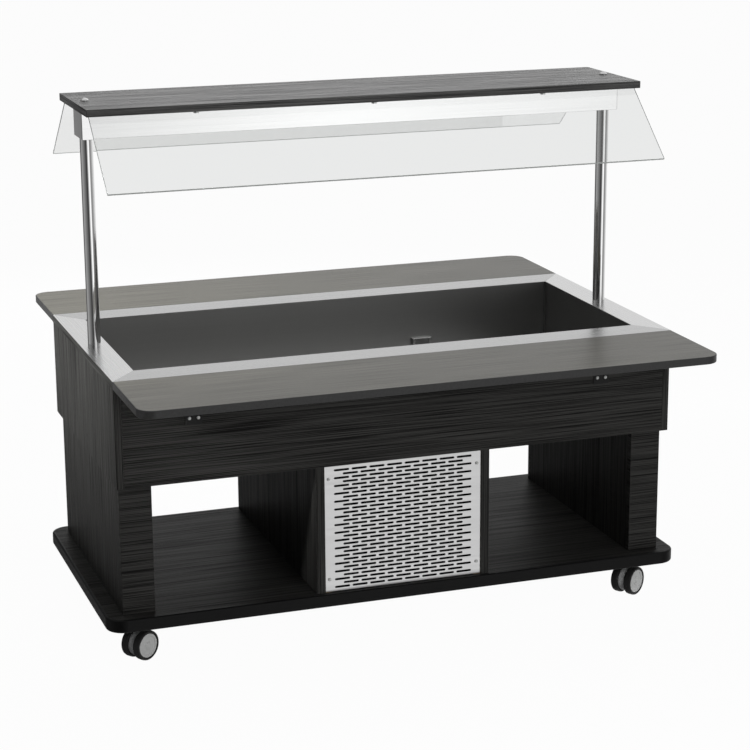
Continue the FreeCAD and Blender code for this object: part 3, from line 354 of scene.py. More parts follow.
rubber = mottled("tyre_rubber", (0.014, 0.014, 0.014), 0.62, (220, 220, 220), 0.25, relief=0.00006,
                 specular=0.3)
disc_plastic = mottled("disc_plastic", (0.56, 0.565, 0.56), 0.42, (90, 90, 90), 0.06, relief=0.00003)
caster_plastic = mottled("caster_plastic", (0.34, 0.343, 0.345), 0.45, (120, 120, 120), 0.1, relief=0.00004)
rub_and_highlight_edges(caster_plastic, (0.5, 0.5, 0.5), 0.001)
zinc = mottled("zinc_plate", (0.62, 0.63, 0.62), 0.36, (55, 55, 55), 0.12, metallic=1.0)
tread_profile = [(tread_inner, -0.90 * tread_half), (0.93 * tread_radius, -tread_half),
                 (0.98 * tread_radius, -0.82 * tread_half), (tread_radius, -0.5 * tread_half),
                 (tread_radius, 0.5 * tread_half), (0.98 * tread_radius, 0.82 * tread_half),
                 (0.93 * tread_radius, tread_half), (tread_inner, 0.90 * tread_half)]
face = tread_half - disc_inset
disc_profile = [(0, -face), (tread_inner, -face), (tread_inner, 0.7 * face), (0.97 * tread_inner, face),
                (0.80 * tread_inner, face), (0.77 * tread_inner, face - disc_dish),
                (0.36 * tread_inner, face - disc_dish), (0.33 * tread_inner, face - 0.3 * disc_dish),
                (1.15 * cap_radius, face - 0.3 * disc_dish), (cap_radius, face - disc_dish),
                (0.9 * cap_radius, face - 0.2 * disc_dish), (0.5 * cap_radius, face + 0.3 * disc_dish),
                (0, face + 0.4 * disc_dish)]
for corner in ("fl", "fr", "rl", "rr"):
    outward = middle(f"wheel_{corner}_outer") - middle(f"wheel_{corner}_inner")
    for side, axle in (("outer", outward), ("inner", -outward)):
        wheel = f"wheel_{corner}_{side}"
        stand = facing(axle, middle(wheel))
        tread = bmesh.new()
        add_turning(tread, tread_profile, stand, wheel_steps, ring=True)
        make_piece(wheel + "_tread", tread, rubber, wheel, "tyre_black", wheel)
        disc = bmesh.new()
        add_turning(disc, disc_profile, stand, wheel_steps)
        make_piece(wheel + "_disc", disc, disc_plastic, wheel, "caster_grey")
    dress(caster_plastic, f"caster_body_{corner}")
dress(zinc, "caster_plates")


# Columns and partitions: a hollow column of four boards at each end, and two boards round the cooling unit.
# All are faced board with eased edges, doweled to the base and to the tub.
board_thick = 0.018
board_ease = 0.0008
board_lengthwise = laminate("board_lengthwise", wood_dark, wood_light, roughness=0.5, upright=False,
                            specular=0.12, depth=1.0)
board_upright = laminate("board_upright", wood_dark, wood_light, roughness=0.5, upright=True,
                         specular=0.12, depth=1.0)


def add_board(shape, low, high, ease):
    """Add a board with eased edges between two corners."""
    corners = bmesh.ops.create_cube(shape, size=1.0)["verts"]
    for corner in corners:
        corner.co = [low[axis] + (corner.co[axis] + 0.5) * (high[axis] - low[axis]) for axis in range(3)]
    edges = list(dict.fromkeys(edge for corner in corners for edge in corner.link_edges))
    bmesh.ops.bevel(shape, geom=edges, offset=ease, segments=2, profile=0.5, affect="EDGES")


for column in ("left_column", "right_column"):
    low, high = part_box(column)
    ends = bmesh.new()
    add_board(ends, low, (high.x, low.y + board_thick, high.z), board_ease)
    add_board(ends, (low.x, high.y - board_thick, low.z), high, board_ease)
    make_piece(column + "_ends", ends, board_lengthwise, "counter", "board_dark", column)
    sides = bmesh.new()
    for start in (low.x, high.x - board_thick):
        add_board(sides, (start, low.y + board_thick, low.z),
                  (start + board_thick, high.y - board_thick, high.z), board_ease)
    make_piece(column + "_sides", sides, board_upright, "counter", "board_dark")
for partition in ("left_partition", "right_partition"):
    shape = bmesh.new()
    add_board(shape, *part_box(partition), board_ease)
    make_piece(partition + "_board", shape, board_upright, "counter", "board_dark", partition)


# Cooling unit: a finned condenser with a fan behind the guests' grille, and a hermetic compressor.
# The fins are dipped black; the compressor is an enamelled can on rubber feet, with soft copper pipes.
fins = mottled("fin_lacquer", (0.012, 0.012, 0.013), 0.6, (40, 40, 300), 0.3, specular=0.2)
dress(fins, "condenser")
# Black foam seals close the gaps round the condenser up to the roof of its bay; being black, they also stand
# in for the shade behind the grille's slots.
seal_thick = 0.004
seal_ease = 0.0005
low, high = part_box("condenser")
partition_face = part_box("right_partition")[0].x
bay_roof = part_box("right_partition")[1].z
seal = bmesh.new()
seal_back = low.y + seal_thick
add_board(seal, (-partition_face, low.y, low.z), (low.x, seal_back, bay_roof), seal_ease)
add_board(seal, (high.x, low.y, low.z), (partition_face, seal_back, bay_roof), seal_ease)
add_board(seal, (low.x, low.y, high.z), (high.x, seal_back, bay_roof), seal_ease)
foam_seal_and_shade = mottled("foam_seal_and_shade", (0.008, 0.008, 0.008), 0.9, (400, 400, 400), 0.3, relief=0.0002,
                    specular=0.1)
make_piece("condenser_seal", seal, foam_seal_and_shade, "counter", "shroud_black")
shroud_steel = mottled("shroud_enamel", (0.02, 0.02, 0.021), 0.4, (200, 200, 200), 0.2)
rub_and_highlight_edges(shroud_steel, (0.1, 0.1, 0.1), 0.001)
dress(shroud_steel, "fan_shroud")
dress(mottled("fan_plastic", (0.22, 0.225, 0.23), 0.45, (60, 60, 60), 0.1), "fan_rotor")
enamel = mottled("compressor_enamel", (0.012, 0.012, 0.012), 0.3, (140, 140, 140), 0.3, relief=0.0001)
rub_and_highlight_edges(enamel, (0.07, 0.07, 0.07), 0.0015)
dress(enamel, "compressor")
copper = mottled("copper_pipe", (0.80, 0.42, 0.28), 0.3, (45, 45, 45), 0.18, metallic=1.0)
dress(copper, "evaporator_coil")


# Grilles: slotted stainless sheet screwed to softwood battens, tall at the front and shorter at the back.
# The sheet is satin brushed along its width and the slots are punched with rounded ends.
steel = (0.62, 0.62, 0.62)
brush_along = 2.5
brush_across = 420.0
brush_lengthwise = (brush_along, brush_across, brush_across)
brush_relief = 0.000004
# Near-black painted shade for the edges of the slots, which keeps them dark.
slot_edge_shade = (0.02, 0.02, 0.02)
satin_sheet = mottled("steel_satin_sheet", steel, 0.36, brush_lengthwise, 0.05, metallic=1.0,
                      relief=brush_relief)


def paint_shade_on_slot_edges(finish):
    """Darken what faces sideways, up or down on an upright sheet, the punched edges of its slots: painted
    shade that keeps the slots dark.
    """
    tree = finish.node_tree
    surface = tree.nodes["Principled BSDF"]
    normal = shade(tree, "SeparateXYZ", {0: shade(tree, "TexCoord", {})["Normal"]})
    flat = shade(tree, "Math", {0: normal["Y"]}, operation="ABSOLUTE")[0]
    whole = surface.inputs["Base Color"].links[0].from_socket
    tone = mix_colours(tree, flat, opaque(slot_edge_shade), whole)
    tree.links.new(tone, surface.inputs["Base Color"])


paint_shade_on_slot_edges(satin_sheet)
batten_wood = mottled("batten_pine", (0.16, 0.11, 0.06), 0.65, (9, 60, 9), 0.25, relief=0.0001)
dress(satin_sheet, "front_grille", "rear_grille")
dress(batten_wood, "grille_battens")


# Tub: the faced box round the cold well, its side panels housed over the front and rear ones.
# Cream polyurethane foam fills the space between the tub and the steel well.
tub_boards = {"tub_left_panel": board_upright, "tub_right_panel": board_upright,
              "tub_front_panel": board_lengthwise, "tub_rear_panel": board_lengthwise}
for panel, finish in tub_boards.items():
    shape = bmesh.new()
    add_board(shape, *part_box(panel), board_ease)
    make_piece(panel + "_board", shape, finish, "counter", "board_dark", panel)
dress(board_lengthwise, "tub_floor", "worktop_board")
foam = mottled("foam_cream", (0.78, 0.70, 0.47), 0.85, (260, 260, 260), 0.12, relief=0.0004)
dress(foam, "insulation")


# Rim and well: a folded stainless well hangs in the worktop, and four mitred strips frame its opening.
# The strips are brushed lengthwise; the well's corners are welded and dressed to a small hollow fillet.
opening_half = (0.6525, 0.2765)
mitre_gap = 0.0002
strip_ease = 0.0005
fillet = 0.004
fillet_steps = 6


def add_prism(shape, outline, rise, ease=0.0):
    """Raise a flat outline along a vector, with its two rims eased."""
    floor = [shape.verts.new(point) for point in outline]
    roof = [shape.verts.new(Vector(point) + Vector(rise)) for point in outline]
    caps = [shape.faces.new(floor), shape.faces.new(roof)]
    for index in range(len(outline)):
        shape.faces.new((floor[index - 1], floor[index], roof[index], roof[index - 1]))
    if ease:
        rims = [edge for cap in caps for edge in cap.edges]
        bmesh.ops.bevel(shape, geom=rims, offset=ease, segments=2, profile=0.5, affect="EDGES")


brush_depthwise = (brush_across, brush_along, brush_across)
# The long strips' steel is a darker copy of the end strips' steel: painted shade. The drain's strainer uses
# it too.
shaded_brushed_lengthwise = mottled("steel_brushed_x", scaled(steel, 0.72), 0.27, brush_lengthwise, 0.05,
                             metallic=1.0, relief=brush_relief)
brushed_depthwise = mottled("steel_brushed_y", steel, 0.27, brush_depthwise, 0.05, metallic=1.0,
                            relief=brush_relief)
rim_low, rim_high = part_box("rim_long_strips")
strip_rise = Vector((0, 0, rim_high.z - rim_low.z))
long_strips = bmesh.new()
end_strips = bmesh.new()
for sign in (-1, 1):
    far = sign * rim_high.y
    near = sign * opening_half[1]
    out = rim_high.x - mitre_gap
    inner = opening_half[0] - mitre_gap
    add_prism(long_strips, [(-out, far, rim_low.z), (out, far, rim_low.z), (inner, near, rim_low.z),
                            (-inner, near, rim_low.z)], strip_rise, strip_ease)
    far = sign * rim_high.x
    near = sign * opening_half[0]
    out = rim_high.y - mitre_gap
    inner = opening_half[1] - mitre_gap
    add_prism(end_strips, [(far, -out, rim_low.z), (far, out, rim_low.z), (near, inner, rim_low.z),
                           (near, -inner, rim_low.z)], strip_rise, strip_ease)
make_piece("rim_long_frame", long_strips, shaded_brushed_lengthwise, "counter", "steel_brushed", "rim_long_strips")
make_piece("rim_end_frame", end_strips, brushed_depthwise, "counter", "steel_brushed", "rim_end_strips")

# The well's steel is darker than the rim's: painted shade inside the well. The sensor cover uses it too.
shaded_well_steel = mottled("shaded_well_steel", (0.46, 0.46, 0.455), 0.3, (brush_along, brush_along, brush_across), 0.02,
                     metallic=1.0, relief=0.000001, gloss_spread=0.03)
seam_steel = mottled("seam_steel", (0.16, 0.16, 0.158), 0.4, (90, 90, 90), 0.1, metallic=1.0)
dress(shaded_well_steel, "well_liner")
sheet = 0.0015
well_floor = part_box("well_liner")[0].z + sheet
seams = bmesh.new()
for side in (-1, 1):
    for end in (-1, 1):
        corner = Vector((side * opening_half[0], end * opening_half[1], well_floor))
        bend = [corner]
        for step in range(fillet_steps + 1):
            angle = math.pi / 2 * step / fillet_steps
            inward = Vector((-side * (1 - math.sin(angle)), -end * (1 - math.cos(angle)), 0))
            bend.append(corner + fillet * inward)
        add_prism(seams, bend, (0, 0, rim_low.z - well_floor))
    for span, wall in ((0, 1), (1, 0)):
        start = Vector((0, 0, well_floor))
        start[span] = -opening_half[span]
        start[wall] = side * opening_half[wall]
        bend = [start]
        for step in range(fillet_steps + 1):
            angle = math.pi / 2 * step / fillet_steps
            point = start.copy()
            point[wall] -= side * fillet * (1 - math.sin(angle))
            point.z += fillet * (1 - math.cos(angle))
            bend.append(point)
        run = Vector((0, 0, 0))
        run[span] = 2 * opening_half[span]
        add_prism(seams, bend, run)
make_piece("well_seams", seams, seam_steel, "counter", "steel_brushed")


# Well fittings: a pressed cover over the air sensor on the rear wall, and a drain in the middle of the floor.
# The drain is a brass tail with a strainer; a ball valve with a red dipped lever shuts it in the cooling bay.
cover_ease = 0.002
slit_count = 5
slit_height = 0.0016
slit_inset = 0.008
slit_start = 0.002
slit_depth = 0.006
slit_ease = 0.0003
hole_ring = 6
inner_ring = 0.0045
outer_ring = 0.0088
hole_radius = 0.0016
hole_bottom = -0.002
hole_top = 0.004
hole_steps = 16


def carve(stock, cutter):
    """Cut one shape out of another."""
    blanks = []
    for label, shape in (("stock", stock), ("cutter", cutter)):
        bmesh.ops.recalc_face_normals(shape, faces=shape.faces)
        mesh = bpy.data.meshes.new(label)
        shape.to_mesh(mesh)
        shape.free()
        blank = bpy.data.objects.new(label, mesh)
        scene.collection.objects.link(blank)
        blanks.append(blank)
    cut = blanks[0].modifiers.new("cut", "BOOLEAN")
    cut.object = blanks[1]
    carved = bmesh.new()
    carved.from_object(blanks[0], bpy.context.evaluated_depsgraph_get())
    for blank in blanks:
        bpy.data.objects.remove(blank)
    return carved


low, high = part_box("sensor_cover")
cover = bmesh.new()
add_board(cover, low, high, cover_ease)
slits = bmesh.new()
for index in range(slit_count):
    level = low.z + (high.z - low.z) * (index + 1) / (slit_count + 1)
    add_board(slits, (low.x + slit_inset, low.y - slit_start, level - slit_height / 2),
              (high.x - slit_inset, low.y + slit_depth, level + slit_height / 2), slit_ease)
cover = carve(cover, slits)
make_piece("sensor_cover_pressing", cover, shaded_well_steel, "counter", "steel_brushed", "sensor_cover")

brass = mottled("brass_fitting", (0.72, 0.55, 0.27), 0.32, (70, 70, 70), 0.15, metallic=1.0)
drain_low, drain_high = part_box("drain_fitting")
lever_low, lever_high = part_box("drain_lever")
valve_z = (lever_low.z + lever_high.z) / 2
tail_radius = 0.014
tail_wall = 0.003
tail_ease = 0.0008
flange_radius = 0.032
flange_ease = 0.001
dish_depth = 0.0006
valve_radius = 0.0219
valve_half = 0.026
nut_ease = 0.001
stem_radius = 0.0049
stem_cap = 0.004
stem_ease = 0.001
stem_end = 0.0283
stem_steps = 24
upright_axis = Matrix.Identity(4)
fitting = bmesh.new()
flange_low = drain_high.z - sheet
add_turning(fitting, [(0, drain_low.z + tail_wall), (tail_radius - tail_wall, drain_low.z + tail_wall),
                      (tail_radius - tail_wall, drain_low.z), (tail_radius, drain_low.z + tail_ease),
                      (tail_radius, valve_z - valve_half), (0.8 * valve_radius, valve_z - valve_half),
                      (0.8 * valve_radius, valve_z - 0.7 * valve_half),
                      (0, valve_z - 0.7 * valve_half)], upright_axis)
hexagon = [(valve_radius * math.cos(math.tau * step / 6), valve_radius * math.sin(math.tau * step / 6))
           for step in range(6)]
for bottom, top in ((-1.0, -0.55), (0.55, 1.0)):
    add_prism(fitting, [(x, y, valve_z + bottom * valve_half) for x, y in hexagon],
              (0, 0, (top - bottom) * valve_half), nut_ease)
add_turning(fitting, [(0, valve_z - 0.6 * valve_half), (0.85 * valve_radius, valve_z - 0.6 * valve_half),
                      (valve_radius, valve_z), (0.85 * valve_radius, valve_z + 0.6 * valve_half),
                      (0, valve_z + 0.6 * valve_half)], upright_axis)
add_turning(fitting, [(0, valve_z + valve_half), (tail_radius, valve_z + valve_half),
                      (tail_radius, flange_low), (0, flange_low)], upright_axis)
stem = facing((0, 1, 0), (0, 0, valve_z))
stem_outline = [(0, 0), (stem_radius, 0), (stem_radius, drain_high.y), (0, drain_high.y)]
add_turning(fitting, stem_outline, stem, stem_steps)
add_turning(fitting, [(0, stem_end - stem_cap), (stem_radius, stem_end - stem_cap),
                      (stem_radius, stem_end - stem_ease), (stem_radius - 0.9 * stem_ease, stem_end),
                      (0, stem_end)], stem, stem_steps)
make_piece("drain_valve", fitting, brass, "counter", "brass_fitting", "drain_fitting")
strainer = bmesh.new()
dish = drain_high.z - dish_depth
add_turning(strainer, [(0, flange_low), (flange_radius, flange_low), (flange_radius, flange_low + tail_ease),
                       (flange_radius - flange_ease, drain_high.z), (tail_radius, drain_high.z),
                       (tail_radius - 2 * flange_ease, dish), (0, dish)], upright_axis)
holes = bmesh.new()
hole_outline = [(0, hole_bottom), (hole_radius, hole_bottom), (hole_radius, hole_top), (0, hole_top)]
for ring, count in ((0.0, 1), (inner_ring, hole_ring), (outer_ring, 2 * hole_ring)):
    for step in range(count):
        angle = math.tau * step / count
        spot = Matrix.Translation((ring * math.cos(angle), ring * math.sin(angle), flange_low))
        add_turning(holes, hole_outline, spot, hole_steps)
make_piece("drain_strainer", carve(strainer, holes), shaded_brushed_lengthwise, "counter", "steel_brushed")
lever_vinyl = mottled("lever_red", (0.45, 0.02, 0.015), 0.4, (80, 80, 80), 0.12)
dress(lever_vinyl, "drain_lever")


# Tray flaps: faced boards with a black edge band and two rounded outer corners, on black steel arms.
# The arms pivot on rivets between the cheeks of brackets that are screwed to the tub.
flap_corner = 0.040
band = 0.0022
band_round = 0.0015
band_steps = 4
panel_ease = 0.0004
corner_steps = 10
# The flap tops are a lighter, warmer copy of the boards' laminate, and their sheen is tinted warm: painted
# light from above and a painted warm reflection.
lit_top_dark = (0.024, 0.022, 0.015)
lit_top_light = (0.066, 0.062, 0.046)
lit_top_lengthwise = laminate("lit_top_lengthwise", lit_top_dark, lit_top_light, roughness=0.34, upright=False,
                          specular=0.32, depth=0.35)
painted_warm_sheen = (1.0, 0.985, 0.94, 1)
lit_top_lengthwise.node_tree.nodes["Principled BSDF"].inputs["Specular Tint"].default_value = painted_warm_sheen
band_plastic = mottled("band_plastic", (0.026, 0.026, 0.026), 0.4, (150, 150, 150), 0.2, specular=0.3)
rub_and_highlight_edges(band_plastic, (0.08, 0.08, 0.08), 0.001)


def flap_outline(low, high, side, inset, level):
    """The flap's outline, drawn in from its edges; its two outer corners are rounded."""
    near = (high if side < 0 else low).y
    far = (low if side < 0 else high).y - side * inset
    radius = flap_corner - inset
    points = []
    for end, first in ((-1, 0), (1, corner_steps)):
        pivot = Vector(((low if end < 0 else high).x - end * (inset + radius), far - side * radius, level))
        for step in range(corner_steps + 1):
            angle = math.pi / 2 * abs(first - step) / corner_steps
            turned = (end * math.cos(angle), side * math.sin(angle), 0)
            points.append(pivot + radius * Vector(turned))
    points.append(Vector((high.x - inset, near, level)))
    points.append(Vector((low.x + inset, near, level)))
    return points


for flap, side in (("front_flap", -1), ("rear_flap", 1)):
    low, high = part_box(flap)
    panel = bmesh.new()
    add_prism(panel, flap_outline(low, high, side, band, low.z), (0, 0, high.z - low.z), panel_ease)
    make_piece(flap + "_panel", panel, lit_top_lengthwise, flap, "board_dark", flap)
    edge_band = bmesh.new()
    angles = [math.pi / 2 * step / band_steps for step in range(band_steps + 1)]
    bend = [(band_round * (1 - math.sin(angle)), band_round * (1 - math.cos(angle))) for angle in angles]
    profile = [(band, low.z)]
    profile += [(inset, low.z + rise) for inset, rise in bend]
    profile += [(inset, high.z - rise) for inset, rise in reversed(bend)]
    profile += [(band, high.z)]
    rounds = [[edge_band.verts.new(point) for point in flap_outline(low, high, side, inset, level)]
              for inset, level in profile]
    for lower, upper in zip(rounds, rounds[1:] + rounds[:1]):
        for index in range(len(lower) - 1):
            edge_band.faces.new((lower[index], lower[index + 1], upper[index + 1], upper[index]))
        edge_band.faces.new((lower[-1], lower[0], upper[0], upper[-1]))
    make_piece(flap + "_band", edge_band, band_plastic, flap, "edging_black")
bracket_paint = mottled("bracket_paint", (0.008, 0.008, 0.008), 0.45, (300, 300, 300), 0.2, relief=0.00006,
                        specular=0.2)
rub_and_highlight_edges(bracket_paint, (0.12, 0.12, 0.12), 0.0008)
dress(bracket_paint, "front_flap_arms", "rear_flap_arms", "flap_brackets")
dress(zinc, "flap_pivot_pins")


# Canopy: two chromed tube posts stand on the rim and carry a polished steel box beam with a lamp under it.
# A faced shelf lies on the beam; a long rod through each post clamps all of it, under a domed nut.
chrome = mottled("chrome_tube", (0.84, 0.84, 0.84), 0.06, (30, 30, 30), 0.03, metallic=1.0, relief=0.000001)
polished = mottled("steel_polished", (0.88, 0.88, 0.88), 0.1, (brush_along, 200, 200), 0.03, metallic=1.0,
                   relief=0.000002)
dress(chrome, "left_post", "right_post", "tie_rods")
low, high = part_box("canopy_beam")
lamp_low, lamp_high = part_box("lamp")
lamp_lip = 0.005
lamp_depth = 0.045
beam_ease = 0.0018
window_ease = 0.0004
cut_margin = 0.01
shelf_ease = 0.0012
beam = bmesh.new()
add_board(beam, low, high, beam_ease)
window = bmesh.new()
add_board(window, (lamp_low.x + lamp_lip, lamp_low.y + lamp_lip, low.z - cut_margin),
          (lamp_high.x - lamp_lip, lamp_high.y - lamp_lip, low.z + lamp_depth), window_ease)
make_piece("canopy_beam_box", carve(beam, window), polished, "counter", "steel_polished", "canopy_beam")
dress(mottled("lamp_opal", (0.86, 0.87, 0.86), 0.5, (40, 40, 40), 0.03), "lamp")
# The shelf's light streaks are lighter than the other boards': painted light on its top.
lit_shelf_light = (0.046, 0.0455, 0.044)
shelf = bmesh.new()
add_board(shelf, *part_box("canopy_shelf"), shelf_ease)
shelf_lengthwise = laminate("shelf_lengthwise", wood_dark, lit_shelf_light, roughness=0.38, upright=False,
                            specular=0.45, depth=1.6)
make_piece("canopy_shelf_board", shelf, shelf_lengthwise, "counter", "board_dark", "canopy_shelf")


# Sneeze guard: two toughened glass panes slope out from under the shelf, bonded into grooves in it.
# Three screws stop each pane from sliding out; its edges are ground, so they look grey.
ground_chamfer = 0.0006
glass_index = 1.5
smear_range = (0.45, 0.8)
smear_haze = 0.03
weld_gap = 1e-6
flat_angle = 0.01
glass_tints = {"front": (0.862, 0.870, 0.866), "rear": (0.945, 0.951, 0.948)}
ground_edge = mottled("ground_edge", (0.48, 0.50, 0.49), 0.5, (150, 150, 150), 0.1)
for side, tint in glass_tints.items():
    glass, tree, surface = new_finish(f"clear_glass_{side}", 0.0)
    surface.inputs["Base Color"].default_value = opaque(tint)
    surface.inputs["Transmission Weight"].default_value = 1.0
    surface.inputs["IOR"].default_value = glass_index
    spot = shade(tree, "TexCoord", {})["Object"]
    smears = shade(tree, "TexNoise", {"Vector": spot, "Scale": 7.0, "Detail": 3.0})[0]
    haze = remap(tree, smears, *smear_range, 0.0, smear_haze)
    tree.links.new(haze, surface.inputs["Roughness"])
    pane = bmesh.new()
    pane.from_mesh(nodes[side + "_glass"].data)
    bmesh.ops.remove_doubles(pane, verts=pane.verts, dist=weld_gap)
    bmesh.ops.dissolve_limit(pane, angle_limit=flat_angle, verts=pane.verts, edges=pane.edges)
    bmesh.ops.bevel(pane, geom=pane.edges[:], offset=ground_chamfer, segments=1, affect="EDGES")
    widest = max(face.calc_area() for face in pane.faces)
    for face in pane.faces:
        face.material_index = 0 if face.calc_area() > 0.9 * widest else 1
    guard = make_piece(side + "_pane", pane, glass, "counter", "glass_clear", side + "_glass")
    guard.data.materials.append(ground_edge)
    guard.visible_shadow = False
    guard.visible_glossy = False
dress(zinc, "glass_screws")


# Control panel: a steel plate over the staff's grille with two rocker switches, a thermostat and a gland.
# The switches snap into square cut-outs; the knob pushes on to the thermostat's shaft.
black_plastic = mottled("black_plastic", (0.012, 0.012, 0.0122), 0.38, (250, 250, 250), 0.15)
rub_and_highlight_edges(black_plastic, (0.06, 0.06, 0.06), 0.0008)
white_print = mottled("white_print", (0.75, 0.75, 0.74), 0.5, (300, 300, 300), 0.04)
plate_low, plate_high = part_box("rear_grille")
panel_low, panel_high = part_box("control_panel")
plate_face = plate_high.y
plate_back = plate_low.y
knob_low, knob_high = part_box("thermostat_knob")
knob_spot = middle("thermostat_knob")
gland_inset = 0.038
gland_radius = 0.009
cord_radius = 0.0036
bezel_half = (0.013, 0.0175)
cutout_half = (0.0115, 0.016)
pocket_half = (0.0097, 0.0132)
bezel_height = 0.002
bezel_ease = 0.0006
bezel_lap = 0.0001
sheet_ease = 0.0004
housing_start = 0.012
pocket_depth = 0.006
pocket_ease = 0.0003
gland_spot = Vector((panel_high.x - gland_inset, plate_face, knob_spot.z))
plate = bmesh.new()
add_board(plate, (panel_low.x, plate_back, panel_low.z), (panel_high.x, plate_face, panel_high.z), sheet_ease)
openings = bmesh.new()
housings = bmesh.new()
pockets = bmesh.new()
for switch in ("main_switch", "lamp_switch"):
    centre = middle(switch).x
    blocks = [(openings, cutout_half, plate_back - cut_margin, plate_face + cut_margin, sheet_ease),
              (housings, bezel_half, plate_face - bezel_lap, plate_face + bezel_height, bezel_ease),
              (housings, cutout_half, panel_low.y + housing_start, plate_face, bezel_ease),
              (pockets, pocket_half, plate_face - pocket_depth, plate_face + cut_margin, pocket_ease)]
    for shape, (half_wide, half_high), back, front, ease in blocks:
        add_board(shape, (centre - half_wide, back, knob_spot.z - half_high),
                  (centre + half_wide, front, knob_spot.z + half_high), ease)
plate = carve(plate, openings)
make_piece("control_plate", plate, satin_sheet, "counter", "steel_brushed", "control_panel")
make_piece("switch_housings", carve(housings, pockets), black_plastic, "counter", "switch_black")

gland = bmesh.new()
gland_axis = facing((0, 1, 0), gland_spot)
gland_tail = 0.0155
gland_ease = 0.0006
collar_height = 0.004
dome_radius = 0.0085
dome_height = 0.014
dome_ease = 0.0005
gland_outline = [(cord_radius, -gland_tail), (gland_radius, -gland_tail), (gland_radius, collar_height),
                 (dome_radius, collar_height), (dome_radius, dome_height - 5 * dome_ease),
                 (dome_radius - 4 * dome_ease, dome_height - dome_ease),
                 (dome_radius - 6 * dome_ease, dome_height), (cord_radius, dome_height - dome_ease)]
add_turning(gland, gland_outline, gland_axis, ring=True)
nut_corner = 0.0103
nut_lift = 0.0001
nut_height = 0.005
nut = []
for step in range(6):
    angle = math.tau * (step + 0.5) / 6
    nut.append(gland_spot + Vector((nut_corner * math.cos(angle), nut_lift, nut_corner * math.sin(angle))))
bore = bmesh.new()
bore_reach = 0.03
bore_steps = 32
bore_outline = [(0, -bore_reach), (cord_radius, -bore_reach), (cord_radius, bore_reach), (0, bore_reach)]
add_turning(bore, bore_outline, gland_axis, bore_steps)
gland_nut = bmesh.new()
add_prism(gland_nut, nut, (0, nut_height, 0), gland_ease)
make_piece("cord_gland", gland, black_plastic, "counter", "switch_black")
make_piece("cord_gland_nut", carve(gland_nut, bore), black_plastic, "counter", "switch_black")

thermostat = bmesh.new()
body_half = 0.023
body_ease = 0.001
add_board(thermostat, (knob_spot.x - body_half, panel_low.y, knob_spot.z - body_half),
          (knob_spot.x + body_half, plate_back, knob_spot.z + body_half), body_ease)
make_piece("thermostat_body", thermostat, black_plastic, "counter", "switch_black")

tick_count = 11
tick_ring = 0.0225
tick_half = 0.0005
tick_proud = 0.0001
long_tick = 0.005
short_tick = 0.003
dial_start = 225
dial_sweep = 270


def add_ray(shape, hub, degrees, near, far, half, proud):
    """Lay a thin bar on the dial, from one radius to another."""
    angle = math.radians(degrees)
    ray = Vector((-math.cos(angle), 0, math.sin(angle)))
    aside = Vector((-math.sin(angle), 0, -math.cos(angle))) * half
    start = hub + ray * near
    tip = hub + ray * far
    add_prism(shape, [start + aside, start - aside, tip - aside, tip + aside], (0, proud, 0))


scale = bmesh.new()
dial_hub = Vector((knob_spot.x, plate_face, knob_spot.z))
for tick in range(tick_count):
    degrees = dial_start - dial_sweep * tick / (tick_count - 1)
    length = long_tick if tick % 5 == 0 else short_tick
    add_ray(scale, dial_hub, degrees, tick_ring, tick_ring + length, tick_half, tick_proud)
make_piece("thermostat_scale", scale, black_plastic, "counter", "switch_black")

flutes = 12
flute_depth = 0.07
knob = bmesh.new()
knob_radius = (knob_high.x - knob_low.x) / 2
knob_steps = 12 * flutes
knob_start = 0.0006
skirt_top = knob_start + 0.0025
grip_start = knob_start + 0.0032
crown_ease = 0.0015
knob_top = knob_high.y - plate_face
knob_axis = facing((0, 1, 0), dial_hub)
add_turning(knob, [(0, knob_start), (knob_radius, knob_start), (knob_radius, skirt_top),
                   (0.93 * knob_radius, grip_start), (0.91 * knob_radius, knob_top - crown_ease),
                   (0.84 * knob_radius, knob_top), (0, knob_top)], knob_axis, knob_steps)
for vertex in knob.verts:
    across = Vector((vertex.co.x - knob_spot.x, 0, vertex.co.z - knob_spot.z))
    above_skirt = vertex.co.y - plate_face > (skirt_top + grip_start) / 2
    if above_skirt and across.length > 0.8 * knob_radius:
        wave = max(0.0, math.cos(flutes * math.atan2(across.z, across.x)))
        vertex.co -= across * flute_depth * wave
make_piece("thermostat_grip", knob, black_plastic, "thermostat_knob", "knob_black", "thermostat_knob")
pointer = bmesh.new()
pointer_reach = (0.006, 0.0155)
pointer_half = 0.0006
pointer_proud = 0.00015
knob_hub = Vector((knob_spot.x, knob_high.y - pointer_proud, knob_spot.z))
add_ray(pointer, knob_hub, dial_start, *pointer_reach, pointer_half, pointer_proud)
make_piece("thermostat_pointer", pointer, white_print, "thermostat_knob", "knob_black")

